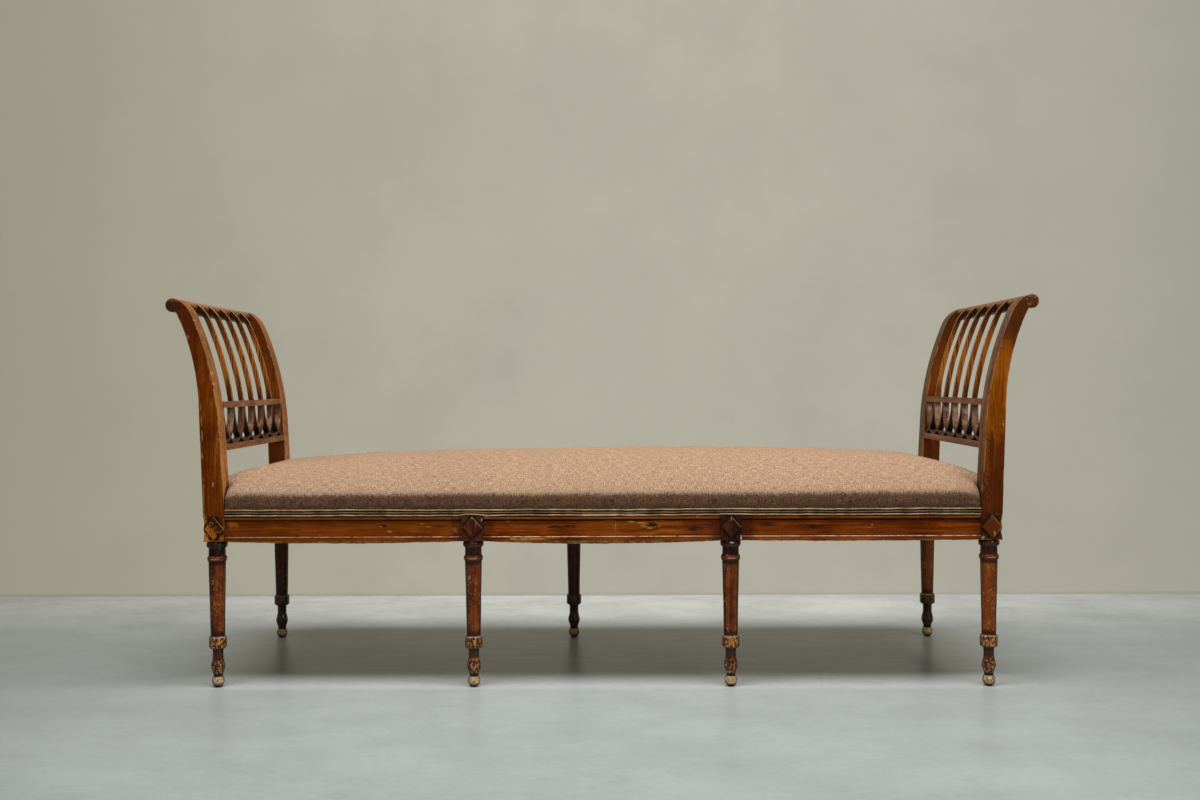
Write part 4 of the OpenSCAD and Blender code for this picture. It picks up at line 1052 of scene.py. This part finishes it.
# -------------------- the stuffed seat under its cover
EDGE_STEPS = (0.0015, 0.004, 0.008, 0.014, 0.021)


def smooth_least(a, b, k):
    h = max(k - abs(a - b), 0) / k
    return min(a, b) - h * h * k / 4


def step01(v):
    v = min(1.0, max(0.0, v))
    return v * v * (3 - 2 * v)


ROLL_R = 0.016


def fillet(d):
    """How far the rounded top edge of the seat lies under its crown, at the distance d from the side."""
    return ROLL_R * (1 - math.sqrt(max(0.0, 1 - (1 - d / ROLL_R) ** 2))) if d < ROLL_R else 0.0


# place along the bench, and how far the crown of the real seat differs there, in millimetres
SHIFTS = ((-0.90, 0.0), (-0.80, -6.5), (-0.70, -8.5), (-0.50, -5.0), (-0.33, -2.5), (0.10, 1.0),
          (0.24, 2.2), (0.44, 0.4), (0.58, 0.0), (0.76, 1.0), (0.90, 0.0))


def uneven_fill(x):
    """How much fuller than even the seat is stuffed at x."""
    for (a, low), (b, high) in zip(SHIFTS, SHIFTS[1:]):
        if a <= x <= b:
            return (low + (high - low) * step01((x - a) / (b - a))) * MM
    return 0.0


def crown(x, y):
    """Height of the top of the seat: a firm roll along the edges, a full crown, hollows behind the posts."""
    rise = CROWN_Z - SIDE_Z
    ax, ay = abs(x), abs(y)
    hx = SIDE_Z + rise * max(0.0, 1 - (ax / COVER_X) ** 2.9) ** (1 / 2.9)
    hy = SIDE_Z + rise * max(0.0, 1 - (ay / COVER_Y) ** 2.0) ** (1 / 1.2)
    h = smooth_least(hx, hy, 0.014) - max(fillet(COVER_X - ax), fillet(COVER_Y - ay))
    along = max(0.0, SOFT_X - ax)
    back = COVER_Y - ay
    strong = 1.0 if x > 0 else 0.7
    # a valley runs from each post into the seat and leaves a firm ridge in front of it
    at, wide = 0.040 + 0.45 * along, 0.010 + 0.12 * along
    hollow = 0.011 * strong * math.exp(-((back - at) / wide) ** 2) * math.exp(-along / 0.055)
    hollow += 0.006 * math.exp(-((COVER_X - ax - 0.036) / 0.013) ** 2) * math.exp(-max(0.0, SOFT_Y - ay) / 0.06)
    # the ridge itself sinks a little towards the post
    hollow += 0.003 * math.exp(-along / 0.030) * step01(1 - back / 0.06)
    beside = abs(ax - SOFT_X) if ay > SOFT_Y else 1.0
    hollow += 0.0025 * (1 - step01(beside / 0.008))
    beside = abs(ay - SOFT_Y) if ax > SOFT_X else 1.0
    hollow += 0.004 * (1 - step01(beside / 0.012))
    edge = math.exp(-back / 0.03)
    h += uneven_fill(x) * (1 - (ay / COVER_Y) ** 2)
    wave = waver(x * 11, y * 2 + 4, 1.3) * 0.0022 + waver(x * 30, y * 4, 7.7) * 0.0009
    return h - hollow + wave * (0.4 + 0.8 * edge)


def seat_cushion():
    bm = bmesh.new()
    uv = bm.loops.layers.uv.new("weave")
    xs = plan_lines(COVER_X, SOFT_X, 0.0085, EDGE_STEPS)
    ys = plan_lines(COVER_Y, SOFT_Y, 0.0085, EDGE_STEPS)
    arc = [0.0]
    for a, b in zip(ys, ys[1:]):
        arc.append(arc[-1] + math.hypot(b - a, crown(0, b) - crown(0, a)))
    arc = [v - arc[-1] / 2 for v in arc]
    grid = plus_grid(bm, xs, ys, crown)
    for corners in cells(xs, ys):
        face = bm.faces.new([grid[c] for c in corners])
        for loop, c in zip(face.loops, corners):
            loop[uv].uv = (xs[c[0]], arc[c[1]])
    rim = dict(outer_edges(xs, ys))
    start = min(rim)
    loop_keys = [start]
    while rim[loop_keys[-1]] != start:
        loop_keys.append(rim[loop_keys[-1]])
    # upright sides, in rows from the roll down into the rebate
    rows = [[grid[k] for k in loop_keys]]
    for share in (0.08, 0.18, 0.30, 0.44, 0.60, 0.80, 1.0):
        row = []
        for k in loop_keys:
            p = grid[k].co
            belly = 0.0018 * math.sin(math.pi * min(1.0, share / 0.75)) ** 2
            bx = math.copysign(belly, p.x) if abs(p.x) > COVER_X - 1e-6 else 0.0
            by = math.copysign(belly, p.y) if abs(p.y) > COVER_Y - 1e-6 else 0.0
            row.append(bm.verts.new((p.x + bx, p.y + by, p.z + (SHOW_TOP - p.z) * share)))
        rows.append(row)
    n = len(loop_keys)
    for upper, lower in zip(rows, rows[1:]):
        for k in range(n):
            j = (k + 1) % n
            a, b = loop_keys[k], loop_keys[j]
            face = bm.faces.new((upper[k], lower[k], lower[j], upper[j]))
            for loop in face.loops:
                p = loop.vert.co
                drop = SIDE_Z - p.z
                if abs(ys[a[1]] - ys[b[1]]) < 1e-9:
                    loop[uv].uv = (p.x, (arc[-1] + drop) * (1 if p.y > 0 else -1))
                else:
                    loop[uv].uv = ((COVER_X + drop) * (1 if p.x > 0 else -1), p.y)
    # the turned-in lower edge and the underside
    low = RAIL_TOP + 2 * STRAP_T + 0.001
    for z in (SHOW_TOP, low):
        rows.append([bm.verts.new((xs[i] - math.copysign(0.002, xs[i]), ys[j] - math.copysign(0.002, ys[j]), z))
                     for i, j in loop_keys])
        join(bm, rows[-1], rows[-2])
    under = dict(zip(loop_keys, rows[-1]))
    for corners in cells(xs, ys):
        for i, j in corners:
            if (i, j) not in under:
                under[i, j] = bm.verts.new((xs[i], ys[j], low))
        bm.faces.new([under[c] for c in corners[::-1]])
    piece = new_piece("seat_stuffed", bm, COVER, ["seat_cover", "seat_pad"], smooth=75)
    return piece


seat = seat_cushion()


def inflate(piece, frames=12, cap=0.002):
    """Tightens the cover over its stuffing with the cloth solver, held along its upright edge and by the posts."""
    rest = [v.co.copy() for v in piece.data.vertices]
    held = piece.vertex_groups.new(name="held")
    nx, ny = POST_IN_X, POST_IN_Y
    for v in piece.data.vertices:
        weight = step01((0.462 - v.co.z) / 0.020)
        if abs(v.co.x) > nx - 0.004 and abs(v.co.y) > ny - 0.004:
            weight = 1.0
        held.add([v.index], weight, "REPLACE")
    cloth_mod = piece.modifiers.new("cloth", "CLOTH")
    s = cloth_mod.settings
    s.quality = 5
    s.mass = 0.3
    s.tension_stiffness = s.compression_stiffness = 22
    s.shear_stiffness = 8
    s.bending_stiffness = 1.2
    s.use_pressure = True
    s.uniform_pressure_force = 2
    s.vertex_group_mass = "held"
    s.pin_stiffness = 1
    s.effector_weights.gravity = 0
    cloth_mod.collision_settings.use_collision = False
    cloth_mod.point_cache.frame_start, cloth_mod.point_cache.frame_end = 1, frames
    for f in range(1, frames + 1):
        scene.frame_set(f)
    shape = piece.evaluated_get(bpy.context.evaluated_depsgraph_get()).to_mesh()
    moved = [v.co.copy() for v in shape.vertices]
    piece.modifiers.remove(cloth_mod)
    scene.frame_set(1)
    for v, a, b in zip(piece.data.vertices, rest, moved):
        step = (b - a) * 0.5
        if step.length > cap:
            step = step * (cap / step.length)
        v.co = a + step


def settle(piece):
    """Puckers above the tacked edge, and keeps the cloth off the posts."""
    nx, ny = SOFT_X, SOFT_Y
    for v in piece.data.vertices:
        p = v.co
        upright = step01((0.462 - p.z) / 0.03) * step01((p.z - 0.400) / 0.012)
        if upright > 0:
            if abs(p.y) > ny + 0.02:
                tuck = waver(p.x * 38, 3.3, p.z * 4) * 0.0012 + waver(p.x * 90, 1.1, p.z * 8) * 0.0005
                p.y += math.copysign(tuck * upright, p.y)
            elif abs(p.x) > nx + 0.02:
                tuck = waver(6.1, p.y * 38, p.z * 4) * 0.0012
                p.x += math.copysign(tuck * upright, p.x)
        if abs(p.x) > nx and abs(p.y) > ny:
            if abs(p.x) - nx < abs(p.y) - ny:
                p.x = math.copysign(nx, p.x)
            else:
                p.y = math.copysign(ny, p.y)


inflate(seat)
settle(seat)
finer = seat.modifiers.new("finer", "SUBSURF")
finer.levels = finer.render_levels = 1


# -------------------- edging cords
def tube(bm, uv, points, radius, around=10):
    rings = []
    gone = 0.0
    for i, p in enumerate(points):
        before, after = points[max(0, i - 1)], points[min(len(points) - 1, i + 1)]
        forward = (after - before).normalized()
        level = forward.cross(Vector((0, 0, 1))).normalized()
        upward = level.cross(forward)
        if i:
            gone += (p - points[i - 1]).length
        ring = []
        for k in range(around):
            a = 2 * math.pi * k / around
            ring.append(bm.verts.new(p + level * math.cos(a) * radius + upward * math.sin(a) * radius))
        rings.append((ring, gone))
    for (a, from_a), (b, from_b) in zip(rings, rings[1:]):
        for k, face in enumerate(join(bm, a, b)):
            for loop, (u, v) in zip(face.loops, ((from_a, k), (from_a, k + 1), (from_b, k + 1), (from_b, k))):
                loop[uv].uv = (u, v / around * 2 * math.pi * radius)
    bm.faces.new(rings[0][0][::-1])
    bm.faces.new(rings[-1][0])


def cord_line(run, level, seed):
    """Points of one cord of a run; the cords of a run sway together, and each a little by itself."""
    axis, sign, half, face, r_seed = run
    count = max(60, round(2 * half / 0.006))
    points = []
    for i in range(count + 1):
        t = -half + 2 * half * i / count
        sway = waver(t * 6 + r_seed, r_seed, 0.5) * 0.0016 + waver(t * 34, seed, 4.5) * 0.0007
        lift = 0.0
        if axis == "x":
            # the carved tops of the middle blocks push the lower cords up a little
            for c, much in ((-MID_X, 0.0034), (MID_X, 0.0012)) if sign < 0 else ((REAR_X, 0.0012),):
                lift = max(lift, much * step01(1 - (abs(t - c) - BLOCK / 4) / 0.020))
        z = SHOW_TOP + level + sway + lift * (1 - level / 0.018)
        out = face - 0.0001 + waver(t * 17, seed + 3, 2.5) * 0.0004 + lift * 0.3
        points.append(Vector((t, sign * out, z)) if axis == "x" else Vector((sign * out, t, z)))
    return points


# axis, side, half length, place of the face, seed
RUNS = [("x", -1, SOFT_X, COVER_Y, 5.3), ("x", 1, SOFT_X, COVER_Y, 7.4),
        ("y", -1, SOFT_Y, COVER_X, 9.6), ("y", 1, SOFT_Y, COVER_X, 12.0)]


def edging_piece(name, cords, material, nodes):
    bm = bmesh.new()
    uv = bm.loops.layers.uv.new("weave")
    for r, run in enumerate(RUNS):
        for c, (level, radius, inset) in enumerate(cords):
            axis, sign, half, face, r_seed = run
            line = cord_line((axis, sign, half, face + 0.0029 - inset, r_seed), level, 1.7 * r + 0.6 * c)
            tube(bm, uv, line, radius)
    return new_piece(name, bm, material, nodes, smooth=80)


# the outer cords carry the painted highlights, the sunk cords the painted shade
edging_piece("edging_outer_cords", [(0.0026, 0.0017, 0.0), (0.0150, 0.0016, 0.0)], CORD_LIT, ["edging"])
edging_piece("edging_middle_cord", [(0.0090, 0.0013, 0.0002)], CORD_MID, [])
edging_piece("edging_sunk_cords", [(0.0058, 0.0019, 0.0014), (0.0120, 0.0019, 0.0014)], CORD_SHADED, [])


# -------------------- stage and light
FAR_TONE = (0.465, 0.445, 0.385)


def plain(name, colour, rough, far_colour):
    """Plain floor, painted lighter towards the wall as painted light, with a painted shadow under the bench."""
    m = Mat(name)
    point = m.point
    x, y, z = m.xyz(point)
    # painted light: lighter towards the wall
    back = m.ramp(y, 0.15, 0.9) * m.ramp(y, 1.9, 0.95)
    tone = m.noise(m.scaled(point, 1, 1.6, 1), 3.2, 5.0, 0.62) + m.noise(point, 22.0, 4.0) * 0.25
    m.colour = m.mix(back, colour, far_colour)
    m.paint(m.ramp(tone, 0.45, 0.8, 0.0, 0.45), times(colour, 0.72))
    # painted shadow under the bench, warm and streaked
    under = m.ramp(abs(x), 1.08, 0.84) * m.band(y, -0.12, 0.34, 0.09)
    streak = m.noise(m.scaled(point, 4, 34, 1), 1.0, 5.0, 0.75)
    painted_shadow = m.mix(m.ramp(streak, 0.4, 0.62), (0.275, 0.265, 0.205), (0.35, 0.34, 0.275))
    m.paint(under * 0.85, painted_shadow)
    # painted light on a strip in front of the bench
    painted_light_strip = m.ramp(abs(x), 1.05, 0.85) * m.band(y, -0.265, -0.19, 0.055)
    m.paint(painted_light_strip * 0.62, (0.88, 0.92, 0.9))
    m.paint(m.ramp(m.noise(m.scaled(point, 1, 1.8, 1), 55.0, 5.0, 0.75), 0.42, 0.62, 0.0, 0.16), (0.3, 0.34, 0.34))
    m.paint(m.ramp(m.noise(m.scaled(point, 1, 2.4, 1), 6.0, 6.0, 0.7), 0.55, 0.68, 0.0, 0.22), (0.34, 0.36, 0.33))
    # painted shade towards both sides
    painted_side_shade = m.most(m.ramp(x, -0.4, -2.3, 0.0, 0.56), m.ramp(x, 0.5, 2.3, 0.0, 0.6))
    painted_side_shade = painted_side_shade * m.ramp(y, 0.9, -0.4, 0.45, 1.0) * m.ramp(abs(x), 3.6, 2.6) * m.ramp(y, 1.6, 0.95)
    m.paint(painted_side_shade, times(colour, 0.25))
    material = m.finish(Base_Color=m.colour, Roughness=rough, Specular_IOR_Level=0.3)
    # far from the bench the camera sees it as pale as the wall
    far = m.ramp(m.length(point), 2.4, 5.5) * m.get("Is Camera Ray", "LightPath")
    near = m.out.inputs["Surface"].links[0].from_socket
    own = m.get(0, "Emission", {"Color": (*FAR_TONE, 1), "Strength": 1.0})
    m.show(m.add("MixShader", {0: far, 1: near, 2: own}))
    return material


def sheet_of(name, outline, material, wide=7.0):
    bm = bmesh.new()
    rows = [[bm.verts.new((x, y, z)) for x in (-wide, wide)] for y, z in outline]
    for a, b in zip(rows, rows[1:]):
        bm.faces.new((a[0], a[1], b[1], b[0]))
    for face in bm.faces:
        face.smooth = True
    mesh = bpy.data.meshes.new(name)
    bm.to_mesh(mesh)
    bm.free()
    mesh.materials.append(material)
    obj = bpy.data.objects.new(name, mesh)
    scene.collection.objects.link(obj)


def backdrop(name, colour):
    """Pale wall, seen at its own colour from the front and clear from behind."""
    m = Mat(name)
    point = m.point
    tone = m.ramp(m.noise(point, 2.2, 6.0, 0.62), 0.3, 0.7)
    m.colour = m.mix(tone, times(colour, 0.93), times(colour, 1.02))
    x, y, z = m.xyz(point)
    # painted shade towards both sides of the wall
    m.paint(m.ramp(x, 0.0, -2.8), tuple(c * k for c, k in zip(colour, (0.67, 0.67, 0.58))))
    m.paint(m.ramp(x, 0.4, 3.0), tuple(c * k for c, k in zip(colour, (0.73, 0.75, 0.76))))
    paper = m.get(0, "BsdfDiffuse", {"Color": m.colour})
    own = m.get(0, "Emission", {"Color": m.colour, "Strength": 1.0})
    ray = m.add("LightPath").outputs
    seen = m.most(ray["Is Camera Ray"], m.most(ray["Is Glossy Ray"], ray["Is Transmission Ray"]))
    high = m.ramp(z, 0.0, 0.012, 0.5, 0.92)
    front = m.get(0, "MixShader", {0: seen * high, 1: paper, 2: own})
    behind = m.get("Backfacing", "NewGeometry")
    m.show(m.add("MixShader", {0: behind, 1: front, 2: m.get(0, "BsdfTransparent")}))
    return m.material


WALL_Y, WALL_H, BEND_R, FLOOR_REACH = 0.915, 5.0, 0.008, 30.0
sheet_of("studio_floor", [(y, 0.0) for y in (-FLOOR_REACH, -3.0, 0.0, WALL_Y, FLOOR_REACH)],
         plain("studio_floor_paper", (0.545, 0.600, 0.600), 0.34, (0.94, 0.97, 0.95)), wide=FLOOR_REACH)
bend = [math.radians(d) for d in range(0, 91, 6)]
sheet_of("studio_wall", [(WALL_Y - BEND_R * (1 - math.sin(a)), BEND_R * (1 - math.cos(a))) for a in bend]
         + [(WALL_Y, WALL_H)], backdrop("studio_wall_paper", (0.465, 0.445, 0.365)))

world = bpy.data.worlds.new("studio")
world.use_nodes = True
nodes, links = world.node_tree.nodes, world.node_tree.links
light = nodes["Background"]
light.inputs["Color"].default_value = (0.92, 0.96, 1.0, 1)
light.inputs["Strength"].default_value = 0.19
# from behind, where no wall stands, the camera sees the same pale tone past the floor
past = nodes.new("ShaderNodeBackground")
past.inputs["Color"].default_value = (*FAR_TONE, 1)
either = nodes.new("ShaderNodeMixShader")
links.new(nodes.new("ShaderNodeLightPath").outputs["Is Camera Ray"], either.inputs[0])
for i, shader in enumerate((light, past)):
    links.new(shader.outputs[0], either.inputs[i + 1])
links.new(either.outputs[0], nodes["World Output"].inputs["Surface"])
scene.world = world


def softbox(name, place, aim, size, power, colour):
    """A rectangular lamp of that size in metres and that power in watts."""
    data = bpy.data.lights.new(name, "AREA")
    data.shape = "RECTANGLE"
    data.size, data.size_y = size
    data.energy = power
    data.color = colour
    lamp = bpy.data.objects.new(name, data)
    lamp.location = place
    lamp.rotation_euler = (Vector(aim) - Vector(place)).to_track_quat("-Z", "Y").to_euler()
    scene.collection.objects.link(lamp)


softbox("key_above", (0.1, -0.75, 3.0), (0, -0.1, 0.4), (3.6, 1.05), 84, (1.0, 0.98, 0.95))
softbox("fill_front", (2.4, -3.6, 1.9), (0, 0, 0.5), (1.1, 1.0), 22, (1.0, 0.98, 0.96))

scene.view_settings.view_transform = "Standard"
